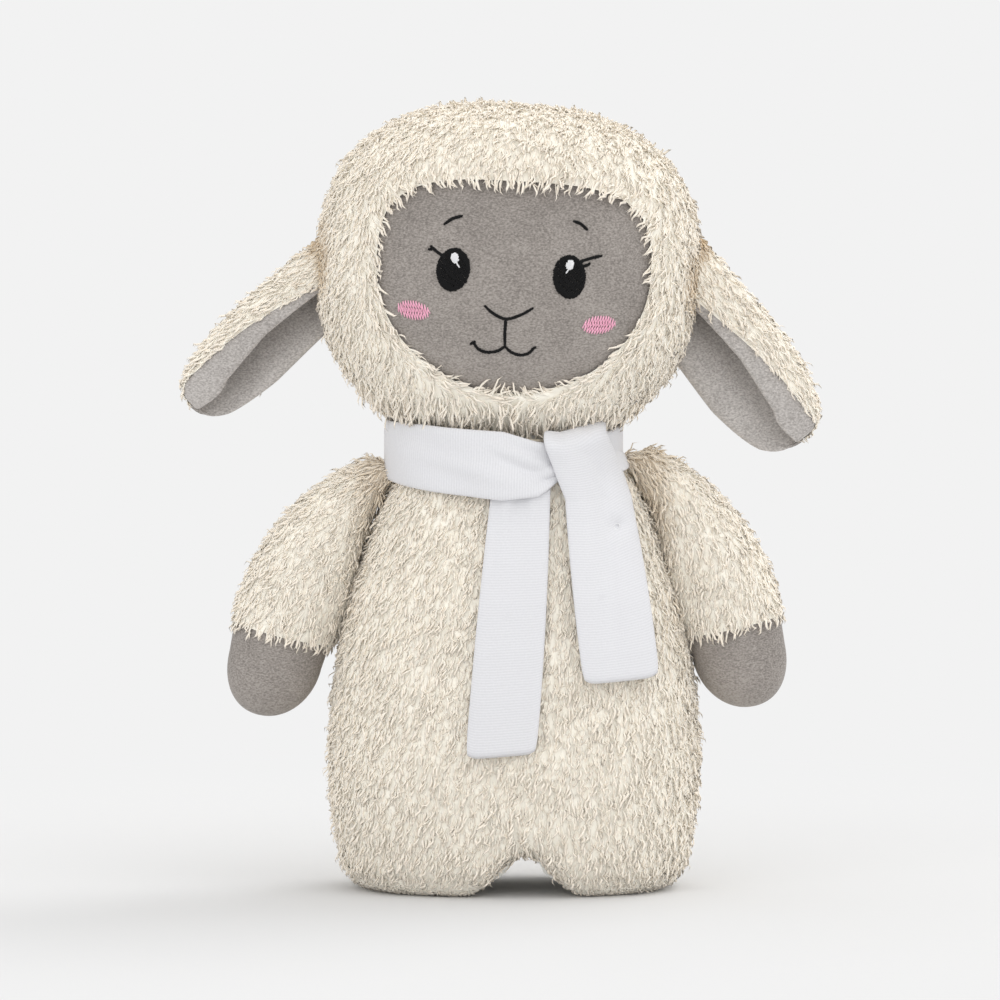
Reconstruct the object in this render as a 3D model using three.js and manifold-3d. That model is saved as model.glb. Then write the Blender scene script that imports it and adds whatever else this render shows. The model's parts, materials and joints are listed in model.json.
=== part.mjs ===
// Plush sheep: a stuffed standing sheep of curly fleece with a velboa face, hands and ear
// linings, an embroidered face and a jersey scarf tied round its neck.
// Millimetres, +Z up, standing on z = 0, facing -Y. Left and right are the sheep's own,
// so its left side is at +X.
import * as THREE from "three";
import { mergeVertices } from "three/addons/utils/BufferGeometryUtils.js";
import Module from "manifold-3d";

const wasm = await Module();
wasm.setup();

// Fabrics and clearances
const fleeceThickness = 4; // backing and curly pile
const velboaRecess = 2.2; // how far the short pile lies below the fleece tips
const jerseyThickness = 2.4; // both layers of the flat scarf tube
const threadHeight = 0.8; // satin stitches over the cloth
const seamGap = 0.3; // between panels that are sewn edge to edge
const restGap = 0.3; // between pieces that lie on each other
const cutOverrun = 10; // how far a cutting tool runs past what it cuts

// Torso with its two leg stubs, one bag of cloth from the soles to the neck opening
const torsoHeight = 150;
const torsoHalfWidth = 63;
const torsoHalfDepth = 40;
const torsoPower = 2.3; // of its superellipse sections
const torsoSegments = 30;
// Height, half width and half depth, as shares of the three sizes above.
const torsoProfileShares = [
  [0, 0.79, 0.74],
  [0.02, 0.87, 0.84],
  [0.06, 0.93, 0.92],
  [0.13, 0.965, 0.97],
  [0.22, 0.99, 0.995],
  [0.31, 1, 1],
  [0.45, 0.975, 0.985],
  [0.56, 0.94, 0.955],
  [0.67, 0.885, 0.91],
  [0.76, 0.805, 0.855],
  [0.85, 0.735, 0.785],
  [0.93, 0.64, 0.75],
  [1, 0.52, 0.72],
];
const soleThickness = 3.6;
const legGapHalfWidth = 15;
const legGapHeight = 12.5;
const legGapOffset = 3.5; // the arch between the legs sits left of the middle
const stanceShift = 3; // of the torso from the middle of the whole, whose ears are uneven

// Neck: a ball of filling that the head turns, tilts and nods on
const neckBallRadius = 26;
const neckBallHeight = torsoHeight; // its centre, the pivot of the head
const neckGap = 0.5;
const neckThreadRadius = 0.9;
const neckThreadRise = 4; // above the ball's centre
const neckThreadClearance = 0.3; // between the gathering thread and the ball
const neckSegments = 24;
const threadSegments = 6; // round a thread

// Head, posed with a slight tilt to its left
const headHalfWidth = 64.5;
const headHalfDepth = 46;
const headHalfHeight = 54.5;
const headRise = 62; // the head's centre above its pivot
const headShift = -2;
const headTilt = THREE.MathUtils.degToRad(3.3);
const headPlay = 3; // kept free round it, so that it can turn, tilt and nod
const headUprightPower = 2.5;
const headLevelPower = 2.2;
const headSegments = 32;
const headRings = 12;

// Face panel: a rounded shield, fuller above than below
const faceHalfWidth = 46;
const faceShift = 1.8; // towards the left of the head's middle
const faceTop = 30;
const faceBottom = 39.5;
const faceTopPower = 3.3;
const faceBottomPower = 1.95;
const faceSegments = 40;

// Embroidery, placed from the centre of the head
const eyeSpread = 19.7;
const eyeRise = 0.7;
const eyeHalfWidth = 5.7;
const eyeHalfHeight = 7.4;
const eyeTilt = THREE.MathUtils.degToRad(6);
const glintRise = 3.8; // over the middle of the eye
const glintInset = 0.5;
const glintHalfWidth = 1.7;
const glintHalfHeight = 2.2;
const lashReach = 7; // sideways
const lashRise = 5.7;
const lashTipRise = 1.8; // of its tip above that
const browInner = 17.8;
const browOuter = 24;
const browHigh = 18.1;
const browLow = 15.1;
const noseHalfWidth = 7.9;
const noseTop = -11.5;
const noseTip = -15.5;
const mouthTop = -23.6;
const mouthHalfWidth = 10.4;
const mouthDepth = 4;
const smileTurnShare = 0.82; // where the mouth turns up, along its half width
const cheekSpread = 31.2;
const cheekDrop = 15.2;
const cheekHalfWidth = 5.7;
const cheekHalfHeight = 3.4;
const cheekTilt = THREE.MathUtils.degToRad(11);
const stitchWidth = 1.3;
const stitchSteps = 10;
const roundSteps = 20;

// Ears: a folded leaf of fleece over velboa, open to the front and below, that swings on the
// top of its root. The left one hangs lower and is spread wider.
const earCapShare = 0.7; // of its length, the rounded end
const earTipPower = 2.9;
const earSag = 6;
const earHingeInset = 2; // inside the head's widest side
const earHingeBack = 3;
const earRootTuck = 4; // how far the root reaches into the head past the hinge
const earRootShare = 0.955; // of the half height, from the hinge down to the middle of the root
const earLiningThickness = 1.6;
const earFleeceMouth = [-70, 28].map(THREE.MathUtils.degToRad);
const earLiningMouth = [-76, -2].map(THREE.MathUtils.degToRad);
const earSwing = [-8, 0, 10, 20, 30, 40].map(THREE.MathUtils.degToRad); // upwards
const earSegments = 18;
const earRings = 6;
const leftEarLength = 79;
const leftEarHalfHeight = 16.4;
const leftEarHalfDepth = 9;
const leftEarDroop = THREE.MathUtils.degToRad(43.7);
const leftEarHingeHeight = 12; // above the centre of the head
const rightEarLength = 75;
const rightEarHalfHeight = 12.8;
const rightEarHalfDepth = 10;
const rightEarDroop = THREE.MathUtils.degToRad(41.8);
const rightEarHingeHeight = 5;
// Place along the ear, half height and half depth, as shares of the ear's sizes.
const earSwellShares = [
  [0, 1.16, 1],
  [0.14, 1.06, 1],
  [0.3, 1, 1],
];

// Arms: a stuffed sleeve and mitten on a curved spine that starts at the shoulder. The left
// shoulder is a little higher, and the right hand stands out further.
const armDrop = 83.5;
const armHalfWidth = 16.6;
const armHalfDepth = 15;
const leftArmReach = 38.6;
const leftArmRootHeight = 145;
const rightArmReach = 41.6;
const rightArmRootHeight = 142;
const armRootOutset = 6.8; // outside the torso's side at that height
const armSpineShares = [
  [0, 0],
  [0.275, 0.11],
  [0.5, 0.25],
  [0.65, 0.39],
  [0.76, 0.53],
  [0.84, 0.66],
  [0.91, 0.8],
  [1, 1],
];
// Place along the spine, half width and half depth, as shares of the arm's sizes.
const armSwellShares = [
  [0, 0.34, 0.5],
  [0.1, 0.5, 0.7],
  [0.22, 0.67, 0.87],
  [0.36, 0.84, 0.98],
  [0.5, 0.97, 1],
  [0.62, 1, 0.98],
  [0.72, 0.95, 0.95],
  [0.79, 0.92, 0.93],
];
const handCapLength = 20; // the rounded end of the mitten
const handCapPower = 2.2;
const wristShare = 0.71; // where the sleeve ends along the spine
const armSegments = 18;
const armCapRings = 4;

// Scarf: one strip of jersey tube, looped round the neck and crossed in front
const scarfHalfWidth = 38; // inside of the loop
const scarfHalfDepth = 33;
const scarfShift = -3.6; // the loop sits right of the middle
const scarfLoopWidth = 24;
const scarfRise = 1; // the loop's middle at the sides and back, above the torso's top
const scarfHeight = torsoHeight + scarfRise;
const scarfSegments = 44;
// Place round the neck from the front middle towards the left, then the loop's foot and top
// from its middle height as shares of its width: it dips in front, and is pinched where the
// folded end crosses it.
const scarfEdgeShares = [
  [-0.5, -0.44, 0.38],
  [-0.25, -0.44, 0.38],
  [-0.12, -0.56, 0.36],
  [0, -0.68, 0.28],
  [0.045, -0.63, 0.14],
  [0.08, -0.38, 0.08],
  [0.14, -0.36, 0.2],
  [0.25, -0.28, 0.34],
  [0.5, -0.44, 0.38],
];
const scarfTurnFoot = [17, 39.4]; // left and right edge where the short tail starts to hang
const scarfTurnTop = [10, 31]; // the same where it folds over the loop
const scarfTurnDrop = 16; // of that foot, below the loop's middle
const scarfTurnRise = 3; // of the fold over the loop's top edge
const scarfTurnTuck = 5; // how far the fold reaches down behind the loop
const tailColumns = 6;
const tailRows = 9;
// Across a tail, how far its soft lengthwise folds stand out, as shares of the fold height.
const tailFoldShares = [0, 0.7, 0.5, 0.1, 0.4, 1, 0.3];
const tailFoldHeight = 1.6;
const shortTailHem = 74;
const shortTailHemEdges = [23, 48.8];
const longTailDrop = 17; // of its top, below the loop's middle
const longTailHem = 48;
const longTailTopEdges = [-9.9, 11.6];
const longTailHemEdges = [-18, 8];
const tackRadius = 1.4;
const tackHeight = 0.9;
const tackDrop = 11; // below the top of the short tail
const tackInset = 6; // from that tail's outer edge
const tackSegments = 12;

// Materials
const material = (color, roughness) =>
  new THREE.MeshStandardMaterial({ color, roughness, metalness: 0 });
const fleece = material(0xe3d7c2, 1);
const velboa = material(0x9a9491, 0.9);
const jersey = material(0xeeeef0, 0.85);
const fibrefill = material(0xf4f4f2, 1);
const blackThread = material(0x17171a, 0.55);
const whiteThread = material(0xf2f2f4, 0.5);
const pinkThread = material(0xe997b4, 0.55);

// The superellipse's answer to a sine or cosine.
const bulge = (t, power) => Math.sign(t) * Math.abs(t) ** (2 / power);

// The point of a row of shares at a given first value, straight between its neighbours.
function sampled(table, at) {
  const i = Math.max(1, table.findIndex((row) => row[0] >= at));
  const [low, high] = [table[i - 1], table[i]];
  const t = (at - low[0]) / (high[0] - low[0]);
  return low.map((value, k) => THREE.MathUtils.lerp(value, high[k], t));
}

function indexed(points, faces) {
  const geometry = new THREE.BufferGeometry().setFromPoints(points);
  geometry.setIndex(faces);
  return geometry;
}

// A closed skin over rings of points, counterclockwise about the way they follow each other.
function skinned(rings, startPoint, endPoint) {
  const count = rings[0].length;
  const points = [...rings.flat(), startPoint, endPoint];
  const start = points.length - 2;
  const top = (rings.length - 1) * count;
  const faces = [];
  for (let j = 0; j < count; j++) {
    const k = (j + 1) % count;
    for (let base = 0; base < top; base += count) {
      faces.push(base + j, base + k, base + count + k, base + j, base + count + k, base + count + j);
    }
    faces.push(start, k, j, start + 1, top + j, top + k);
  }
  return solidOf(indexed(points, faces));
}

// A tyre-like body through rings of points, the last joined to the first.
function looped(rings) {
  const count = rings[0].length;
  const faces = [];
  rings.forEach((ring, i) => {
    const [here, next] = [i * count, ((i + 1) % rings.length) * count];
    for (let j = 0; j < count; j++) {
      const k = (j + 1) % count;
      faces.push(here + j, here + k, next + k, here + j, next + k, next + j);
    }
  });
  return solidOf(indexed(rings.flat(), faces));
}

// A sheet of cloth between two grids of points that lie over each other. Seen from the face
// side, rows run down and columns run to the right.
function sheeted(face, back) {
  const [rows, columns] = [face.length, face[0].length];
  const offset = rows * columns;
  const at = (i, j) => i * columns + j;
  const faces = [];
  for (let i = 0; i < rows - 1; i++) {
    for (let j = 0; j < columns - 1; j++) {
      const [a, b, c, d] = [at(i, j), at(i + 1, j), at(i + 1, j + 1), at(i, j + 1)];
      faces.push(a, b, c, a, c, d);
      faces.push(a + offset, c + offset, b + offset, a + offset, d + offset, c + offset);
    }
  }
  const edge = [];
  for (let i = 0; i < rows - 1; i++) edge.push(at(i, 0));
  for (let j = 0; j < columns - 1; j++) edge.push(at(rows - 1, j));
  for (let i = rows - 1; i > 0; i--) edge.push(at(i, columns - 1));
  for (let j = columns - 1; j > 0; j--) edge.push(at(0, j));
  edge.forEach((p, n) => {
    const q = edge[(n + 1) % edge.length];
    faces.push(q, p, p + offset, q, p + offset, q + offset);
  });
  return solidOf(indexed([...face.flat(), ...back.flat()], faces));
}

function solidOf(geometry) {
  const bare = geometry.clone();
  bare.deleteAttribute("normal");
  bare.deleteAttribute("uv");
  const merged = mergeVertices(bare);
  return new wasm.Manifold(
    new wasm.Mesh({
      numProp: 3,
      vertProperties: merged.attributes.position.array,
      triVerts: new Uint32Array(merged.index.array),
    }),
  );
}

function geometryOf(solid) {
  const mesh = solid.getMesh();
  const geometry = new THREE.BufferGeometry();
  geometry.setAttribute("position", new THREE.BufferAttribute(mesh.vertProperties, mesh.numProp));
  geometry.setIndex(new THREE.BufferAttribute(mesh.triVerts, 1));
  geometry.computeVertexNormals();
  return geometry;
}

const mirrored = (solid, side) => (side > 0 ? solid : solid.mirror([1, 0, 0]));
const moved = (solid, matrix) => solid.transform(matrix.elements);
const ahead = (solid, normal, distance) => solid.trimByPlane(normal, distance);
const frontHalf = (solid) => ahead(solid, [0, -1, 0], seamGap / 2);
const backHalf = (solid) => ahead(solid, [0, 1, 0], seamGap / 2);
const sideHalf = (solid, side) => ahead(solid, [side, 0, 0], seamGap / 2);

function addPiece(group, name, solid, finish) {
  const mesh = new THREE.Mesh(geometryOf(solid), finish);
  mesh.name = name;
  group.add(mesh);
}

// A shape drawn in x and z, run forwards from y = 0, or through from front to back.
function forwardPrism(shape, depth) {
  const geometry = new THREE.ExtrudeGeometry(shape, { depth, bevelEnabled: false });
  return solidOf(geometry.rotateX(Math.PI / 2));
}

function throughPrism(shape, halfDepth) {
  return forwardPrism(shape, 2 * halfDepth).translate([0, halfDepth, 0]);
}

// An outline of a formula of the angle, counterclockwise.
function roundShape(steps, pointAt) {
  return new THREE.Shape(
    Array.from({ length: steps }, (_, i) => pointAt((2 * Math.PI * i) / steps)),
  );
}

function ovalShape(centre, halfWidth, halfHeight, tilt) {
  return roundShape(roundSteps, (a) =>
    new THREE.Vector2(halfWidth * Math.cos(a), halfHeight * Math.sin(a))
      .rotateAround(new THREE.Vector2(), tilt)
      .add(centre),
  );
}

// A line of stitches: the outline of a curve with a width and pointed ends.
function strokeShape(points, width) {
  const curve = new THREE.SplineCurve(points);
  const spread = width / 2;
  const sides = [[], []];
  for (let i = 0; i <= stitchSteps; i++) {
    const [p, t] = [curve.getPoint(i / stitchSteps), curve.getTangent(i / stitchSteps)];
    const across = new THREE.Vector2(-t.y, t.x).multiplyScalar(spread);
    sides[0].push(p.clone().sub(across));
    sides[1].unshift(p.clone().add(across));
  }
  const nib = (end, way) =>
    curve.getPoint(end).addScaledVector(curve.getTangent(end), way * spread);
  return new THREE.Shape([...sides[0], nib(1, 1), ...sides[1], nib(0, -1)]);
}

// Torso
const torsoAt = (height) => {
  const [, width, depth] = sampled(torsoProfileShares, height / torsoHeight);
  return { halfWidth: width * torsoHalfWidth, halfDepth: depth * torsoHalfDepth };
};

// How far forward the torso's front reaches at a place across it.
function torsoFront(x, height) {
  const { halfWidth, halfDepth } = torsoAt(THREE.MathUtils.clamp(height, 0, torsoHeight));
  const share = Math.min(1, Math.abs(x) / halfWidth);
  return halfDepth * (1 - share ** torsoPower) ** (1 / torsoPower);
}

// The torso swollen by grow, or shrunk if grow is negative, between two heights.
function torsoSolid(grow, low = -grow, high = torsoHeight + grow) {
  const rings = torsoProfileShares.map(([heightShare, widthShare, depthShare]) => {
    const z = THREE.MathUtils.lerp(low, high, heightShare);
    return Array.from({ length: torsoSegments }, (_, i) => {
      const a = (2 * Math.PI * i) / torsoSegments;
      return new THREE.Vector3(
        (widthShare * torsoHalfWidth + grow) * bulge(Math.cos(a), torsoPower),
        (depthShare * torsoHalfDepth + grow) * bulge(Math.sin(a), torsoPower),
        z,
      );
    });
  });
  return skinned(rings, new THREE.Vector3(0, 0, low), new THREE.Vector3(0, 0, high));
}

// The arch between the two leg stubs, swollen by grow.
function legGap(grow) {
  const [width, height] = [legGapHalfWidth + grow, legGapHeight + grow];
  const shape = new THREE.Shape();
  shape.moveTo(-width, -cutOverrun);
  shape.lineTo(width, -cutOverrun);
  shape.lineTo(width, 0);
  shape.quadraticCurveTo(width / 2, height / 3, width / 3, height / 2);
  shape.quadraticCurveTo(width / 6, height, 0, height);
  shape.quadraticCurveTo(-width / 6, height, -width / 3, height / 2);
  shape.quadraticCurveTo(-width / 2, height / 3, -width, 0);
  return throughPrism(shape, torsoHalfDepth + cutOverrun).translate([legGapOffset, 0, 0]);
}

const neckPivot = new THREE.Vector3(0, 0, neckBallHeight);

function neckBall(radius) {
  const sphere = new THREE.SphereGeometry(radius, neckSegments, neckSegments / 2).rotateX(Math.PI / 2);
  return solidOf(sphere).translate(neckPivot.toArray());
}

function buildTorso(group) {
  const hollow = -fleeceThickness;
  const bag = torsoSolid(0).subtract(legGap(0));
  const soles = ahead(bag, [0, 0, -1], -soleThickness);
  const inside = torsoSolid(hollow, hollow, torsoHeight + cutOverrun);
  const socket = neckBall(neckBallRadius + neckGap);
  const walls = ahead(bag, [0, 0, 1], soleThickness + seamGap)
    .subtract(inside.subtract(legGap(fleeceThickness)))
    .subtract(socket);
  addPiece(group, "torso_front_panel", frontHalf(walls), fleece);
  addPiece(group, "torso_back_left_panel", sideHalf(backHalf(walls), 1), fleece);
  addPiece(group, "torso_back_right_panel", sideHalf(backHalf(walls), -1), fleece);
  const [left, right] = [
    ahead(soles, [1, 0, 0], legGapOffset),
    ahead(soles, [-1, 0, 0], -legGapOffset),
  ];
  addPiece(group, "left_sole", left, fleece);
  addPiece(group, "right_sole", right, fleece);
  const filling = torsoSolid(hollow - restGap, soleThickness + restGap, torsoHeight)
    .subtract(legGap(fleeceThickness + restGap))
    .subtract(socket);
  addPiece(group, "torso_filling", filling, fibrefill);
}

function buildNeck(group) {
  addPiece(group, "neck_filling", neckBall(neckBallRadius), fibrefill);
  const ballRadiusThere = Math.sqrt(neckBallRadius ** 2 - neckThreadRise ** 2);
  const thread = new THREE.TorusGeometry(
    ballRadiusThere + neckThreadClearance + neckThreadRadius,
    neckThreadRadius,
    threadSegments,
    neckSegments,
  );
  const rise = neckPivot.z + neckThreadRise;
  addPiece(group, "neck_gathering_thread", solidOf(thread).translate([0, 0, rise]), fleece);
}

// Head, in its own frame with the origin at its centre
function headSolid(grow) {
  const rings = [];
  for (let i = 1; i < headRings; i++) {
    const rise = Math.PI * (i / headRings - 1 / 2);
    const z = (headHalfHeight + grow) * bulge(Math.sin(rise), headUprightPower);
    const share = bulge(Math.cos(rise), headUprightPower);
    rings.push(
      Array.from({ length: headSegments }, (_, k) => {
        const a = (2 * Math.PI * k) / headSegments;
        return new THREE.Vector3(
          (headHalfWidth + grow) * share * bulge(Math.cos(a), headLevelPower),
          (headHalfDepth + grow) * share * bulge(Math.sin(a), headLevelPower),
          z,
        );
      }),
    );
  }
  const pole = new THREE.Vector3(0, 0, headHalfHeight + grow);
  return skinned(rings, pole.clone().negate(), pole);
}

function faceShape(grow) {
  return roundShape(faceSegments, (a) => {
    const upper = Math.sin(a) >= 0;
    const power = upper ? faceTopPower : faceBottomPower;
    const height = upper ? faceTop : faceBottom;
    return new THREE.Vector2(
      faceShift + (faceHalfWidth + grow) * bulge(Math.cos(a), power),
      (height + grow) * bulge(Math.sin(a), power),
    );
  });
}

const headFront = headHalfDepth + cutOverrun;

function buildHead(group) {
  const socket = neckBall(neckBallRadius + neckGap);
  const localSocket = moved(socket, group.matrixWorld.clone().invert());
  const cover = headSolid(0).subtract(headSolid(-fleeceThickness)).subtract(localSocket);
  const front = frontHalf(cover).subtract(forwardPrism(faceShape(0), headFront));
  addPiece(group, "head_front_panel", front, fleece);
  addPiece(group, "head_back_left_panel", sideHalf(backHalf(cover), 1), fleece);
  addPiece(group, "head_back_right_panel", sideHalf(backHalf(cover), -1), fleece);
  const face = headSolid(-velboaRecess)
    .subtract(headSolid(-fleeceThickness))
    .intersect(forwardPrism(faceShape(-seamGap), headFront));
  addPiece(group, "face_panel", face, velboa);
  const filling = headSolid(-fleeceThickness - restGap).subtract(localSocket);
  addPiece(group, "head_filling", filling, fibrefill);
}

// A layer of stitches over the face, between two heights above the velboa.
function stitched(outline, low, high) {
  const layer = headSolid(high - velboaRecess).subtract(headSolid(low - velboaRecess));
  return layer.intersect(outline);
}

const onFace = (shape) => forwardPrism(shape, headFront);

function eyeShape(side, grow) {
  const centre = new THREE.Vector2(side * eyeSpread, eyeRise);
  return ovalShape(centre, eyeHalfWidth + grow, eyeHalfHeight + grow, side * eyeTilt);
}

function buildEye(group, name, side) {
  const [low, high] = [restGap, restGap + threadHeight];
  addPiece(group, `${name}_eye`, stitched(onFace(eyeShape(side, 0)), low, high), blackThread);
  const glintHeight = eyeRise + glintRise;
  const glintCentre = new THREE.Vector2(side * (eyeSpread - glintInset), glintHeight);
  const glint = onFace(ovalShape(glintCentre, glintHalfWidth, glintHalfHeight, -side * eyeTilt));
  const glintSolid = stitched(glint, high + restGap, high + restGap + threadHeight);
  addPiece(group, `${name}_eye_glint`, glintSolid, whiteThread);

  const root = new THREE.Vector2(side * (eyeSpread + eyeHalfWidth / 2), lashRise / 2);
  const tipSpread = eyeSpread + eyeHalfWidth / 2 + lashReach;
  const tip = new THREE.Vector2(side * tipSpread, lashRise + lashTipRise);
  const lash = onFace(strokeShape([root, tip], stitchWidth));
  const clearOfEye = lash.subtract(onFace(eyeShape(side, seamGap)));
  addPiece(group, `${name}_eyelash`, stitched(clearOfEye, low, high), blackThread);

  const middle = (browInner + browOuter) / 2;
  const brow = strokeShape(
    [
      new THREE.Vector2(side * browInner, browHigh),
      new THREE.Vector2(side * middle, browHigh - (browHigh - browLow) / 4),
      new THREE.Vector2(side * browOuter, browLow),
    ],
    stitchWidth,
  );
  addPiece(group, `${name}_brow`, stitched(onFace(brow), low, high), blackThread);

  const cheekCentre = new THREE.Vector2(side * cheekSpread, -cheekDrop);
  const cheek = ovalShape(cheekCentre, cheekHalfWidth, cheekHalfHeight, side * cheekTilt);
  addPiece(group, `${name}_cheek`, stitched(onFace(cheek), low, high), pinkThread);
}

function buildMuzzle(group) {
  const point = (x, z) => new THREE.Vector2(x, z);
  const bottom = mouthTop - mouthDepth;
  const nose = [
    point(-noseHalfWidth, noseTop),
    point(-noseHalfWidth / 2, (noseTop + noseTip) / 2 - stitchWidth / 3),
    point(0, noseTip),
    point(noseHalfWidth / 2, (noseTop + noseTip) / 2 - stitchWidth / 3),
    point(noseHalfWidth, noseTop),
  ];
  const smile = (side) => [
    point(0, mouthTop),
    point((side * mouthHalfWidth) / 4, bottom + mouthDepth / 4),
    point((side * mouthHalfWidth) / 2, bottom),
    point(side * mouthHalfWidth * smileTurnShare, bottom + mouthDepth / 5),
    point(side * mouthHalfWidth, mouthTop - mouthDepth / 6),
  ];
  const strokes = [nose, [point(0, noseTip), point(0, mouthTop)], smile(1), smile(-1)];
  const outline = strokes
    .map((points) => onFace(strokeShape(points, stitchWidth)))
    .reduce((sum, stroke) => sum.add(stroke));
  const solid = stitched(outline, restGap, restGap + threadHeight);
  addPiece(group, "nose_and_mouth", solid, blackThread);
}

// A pod on a spine: its sections swollen by grow, its far end a rounded cap.
function podSolid(pod, grow) {
  const { spine, capLength, capPower, segments, capRings, swell, halfWidth, halfDepth } = pod;
  const total = spine.getLength();
  const bodyLength = total - capLength;
  const ring = (distance, share, [widthShare, depthShare]) => {
    const u = THREE.MathUtils.clamp(distance / total, 0, 1);
    const along = spine.getTangentAt(u);
    const centre = spine.getPointAt(u).addScaledVector(along, distance - u * total);
    const across = new THREE.Vector3(along.z, 0, -along.x);
    return Array.from({ length: segments }, (_, i) => {
      const a = (2 * Math.PI * i) / segments;
      return centre
        .clone()
        .addScaledVector(across, (widthShare * halfWidth + grow) * share * Math.cos(a))
        .add(new THREE.Vector3(0, (depthShare * halfDepth + grow) * share * Math.sin(a), 0));
    });
  };
  const rings = swell.map(([at, ...shares]) => ring(at * total, 1, shares));
  const [, ...endShares] = swell.at(-1);
  for (let i = 1; i <= capRings; i++) {
    const a = (Math.PI / 2) * (i / (capRings + 1));
    const distance = bodyLength + (capLength + grow) * bulge(Math.sin(a), capPower);
    rings.push(ring(distance, bulge(Math.cos(a), capPower), endShares));
  }
  const tip = spine.getPointAt(1).addScaledVector(spine.getTangentAt(1), grow);
  return skinned(rings, spine.getPointAt(0), tip);
}

// Ears, in a frame with its origin at the hinge and +X along the ear
// The wedge that opens an ear to the front between two angles above level.
function earMouth([low, high], reach, length) {
  const edge = (a) => new THREE.Vector2(-reach * Math.cos(a), reach * Math.sin(a));
  const middle = (low + high) / 2;
  const far = edge(middle).multiplyScalar(1 / Math.cos((high - low) / 2));
  const shape = new THREE.Shape([new THREE.Vector2(), edge(high), far, edge(low)]);
  const depth = length + 2 * cutOverrun;
  const geometry = new THREE.ExtrudeGeometry(shape, { depth, bevelEnabled: false });
  geometry.rotateY(Math.PI / 2).rotateX(Math.PI / 2);
  return solidOf(geometry).translate([-cutOverrun, 0, 0]);
}

function buildEar(head, name, side, { length, halfHeight, halfDepth, droop, hingeHeight }) {
  const group = new THREE.Group();
  group.name = `${name}_ear`;
  group.position.set(side * (headHalfWidth - earHingeInset), earHingeBack, hingeHeight);
  group.rotation.y = side * droop;
  head.add(group);
  group.updateMatrix();
  const restHead = moved(headSolid(restGap), group.matrix.clone().invert());
  const clearHead = earSwing
    .map((angle) => moved(restHead, new THREE.Matrix4().makeRotationY(side * angle)))
    .reduce((sum, solid) => sum.add(solid));
  const drop = earRootShare * halfHeight;
  const spine = new THREE.QuadraticBezierCurve3(
    new THREE.Vector3(-earRootTuck, 0, -drop),
    new THREE.Vector3(length / 2 - earRootTuck, 0, earSag / 2 - drop),
    new THREE.Vector3(length - earRootTuck, 0, -earSag / 2 - drop),
  );
  const pod = {
    spine,
    capLength: earCapShare * spine.getLength(),
    capPower: earTipPower,
    segments: earSegments,
    capRings: earRings,
    swell: earSwellShares,
    halfWidth: halfHeight,
    halfDepth,
  };
  const layer = (outer, inner, mouth) => {
    const shell = podSolid(pod, outer).subtract(podSolid(pod, inner));
    const wedge = earMouth(mouth, halfHeight + cutOverrun, length).translate([0, 0, -drop]);
    return mirrored(shell.subtract(wedge), side).subtract(clearHead);
  };
  const lining = -fleeceThickness - restGap;
  addPiece(group, `${name}_ear_back`, layer(0, -fleeceThickness, earFleeceMouth), fleece);
  const liningLayer = layer(lining, lining - earLiningThickness, earLiningMouth);
  addPiece(group, `${name}_ear_lining`, liningLayer, velboa);
}

// Arms, in a frame with its origin at the root of the spine
function buildArm(parent, name, side, { reach, rootHeight }, scarfSpace) {
  const group = new THREE.Group();
  const rootReach = torsoAt(rootHeight).halfWidth + armRootOutset;
  group.position.set(side * rootReach, 0, rootHeight);
  parent.add(group);
  group.updateMatrix();
  const spine = new THREE.CatmullRomCurve3(
    armSpineShares.map(([out, down]) => new THREE.Vector3(out * reach, 0, -down * armDrop)),
  );
  const pod = {
    spine,
    capLength: handCapLength,
    capPower: handCapPower,
    segments: armSegments,
    capRings: armCapRings,
    swell: armSwellShares,
    halfWidth: armHalfWidth,
    halfDepth: armHalfDepth,
  };
  const neighbours = torsoSolid(restGap).add(scarfSpace);
  const clear = moved(neighbours, group.matrix.clone().invert());
  const [wrist, way] = [spine.getPointAt(wristShare), spine.getTangentAt(wristShare)];
  const wristAt = wrist.dot(way);
  const above = (solid) => ahead(solid, way.clone().negate().toArray(), seamGap / 2 - wristAt);
  const below = (solid) => ahead(solid, way.toArray(), seamGap / 2 + wristAt);
  const shell = (outer) => podSolid(pod, outer).subtract(podSolid(pod, -fleeceThickness));
  const fitted = (solid) => mirrored(solid, side).subtract(clear);
  const sleeve = fitted(above(shell(0)));
  const hand = fitted(below(shell(-velboaRecess)));
  addPiece(group, `${name}_sleeve_front`, frontHalf(sleeve), fleece);
  addPiece(group, `${name}_sleeve_back`, backHalf(sleeve), fleece);
  addPiece(group, `${name}_hand_front`, frontHalf(hand), velboa);
  addPiece(group, `${name}_hand_back`, backHalf(hand), velboa);
  const filling = fitted(podSolid(pod, -fleeceThickness - restGap));
  addPiece(group, `${name}_arm_filling`, filling, fibrefill);
}

// Scarf
// The point pushed straight out from the torso's axis until it lies a gap off the torso.
function offTorso(point, gap) {
  const { halfWidth, halfDepth } = torsoAt(THREE.MathUtils.clamp(point.z, 0, torsoHeight));
  const [x, y] = [point.x / (halfWidth + gap), point.y / (halfDepth + gap)];
  const level = (Math.abs(x) ** torsoPower + Math.abs(y) ** torsoPower) ** (1 / torsoPower);
  if (level >= 1 || point.z > torsoHeight + gap) return point;
  return new THREE.Vector3(point.x / level, point.y / level, point.z);
}

// A place on the loop: how far round the neck, from the front middle towards the left, how
// far up from its foot to its top, and how far out from its inner side.
function onLoop(around, up, out) {
  const [, foot, top] = sampled(scarfEdgeShares, around);
  const a = 2 * Math.PI * around;
  const z = scarfHeight + scarfLoopWidth * THREE.MathUtils.lerp(foot, top, up);
  const x = scarfShift + (scarfHalfWidth + out) * Math.sin(a);
  const y = -(scarfHalfDepth + out) * Math.cos(a);
  return offTorso(new THREE.Vector3(x, y, z), out + 2 * restGap);
}

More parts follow.
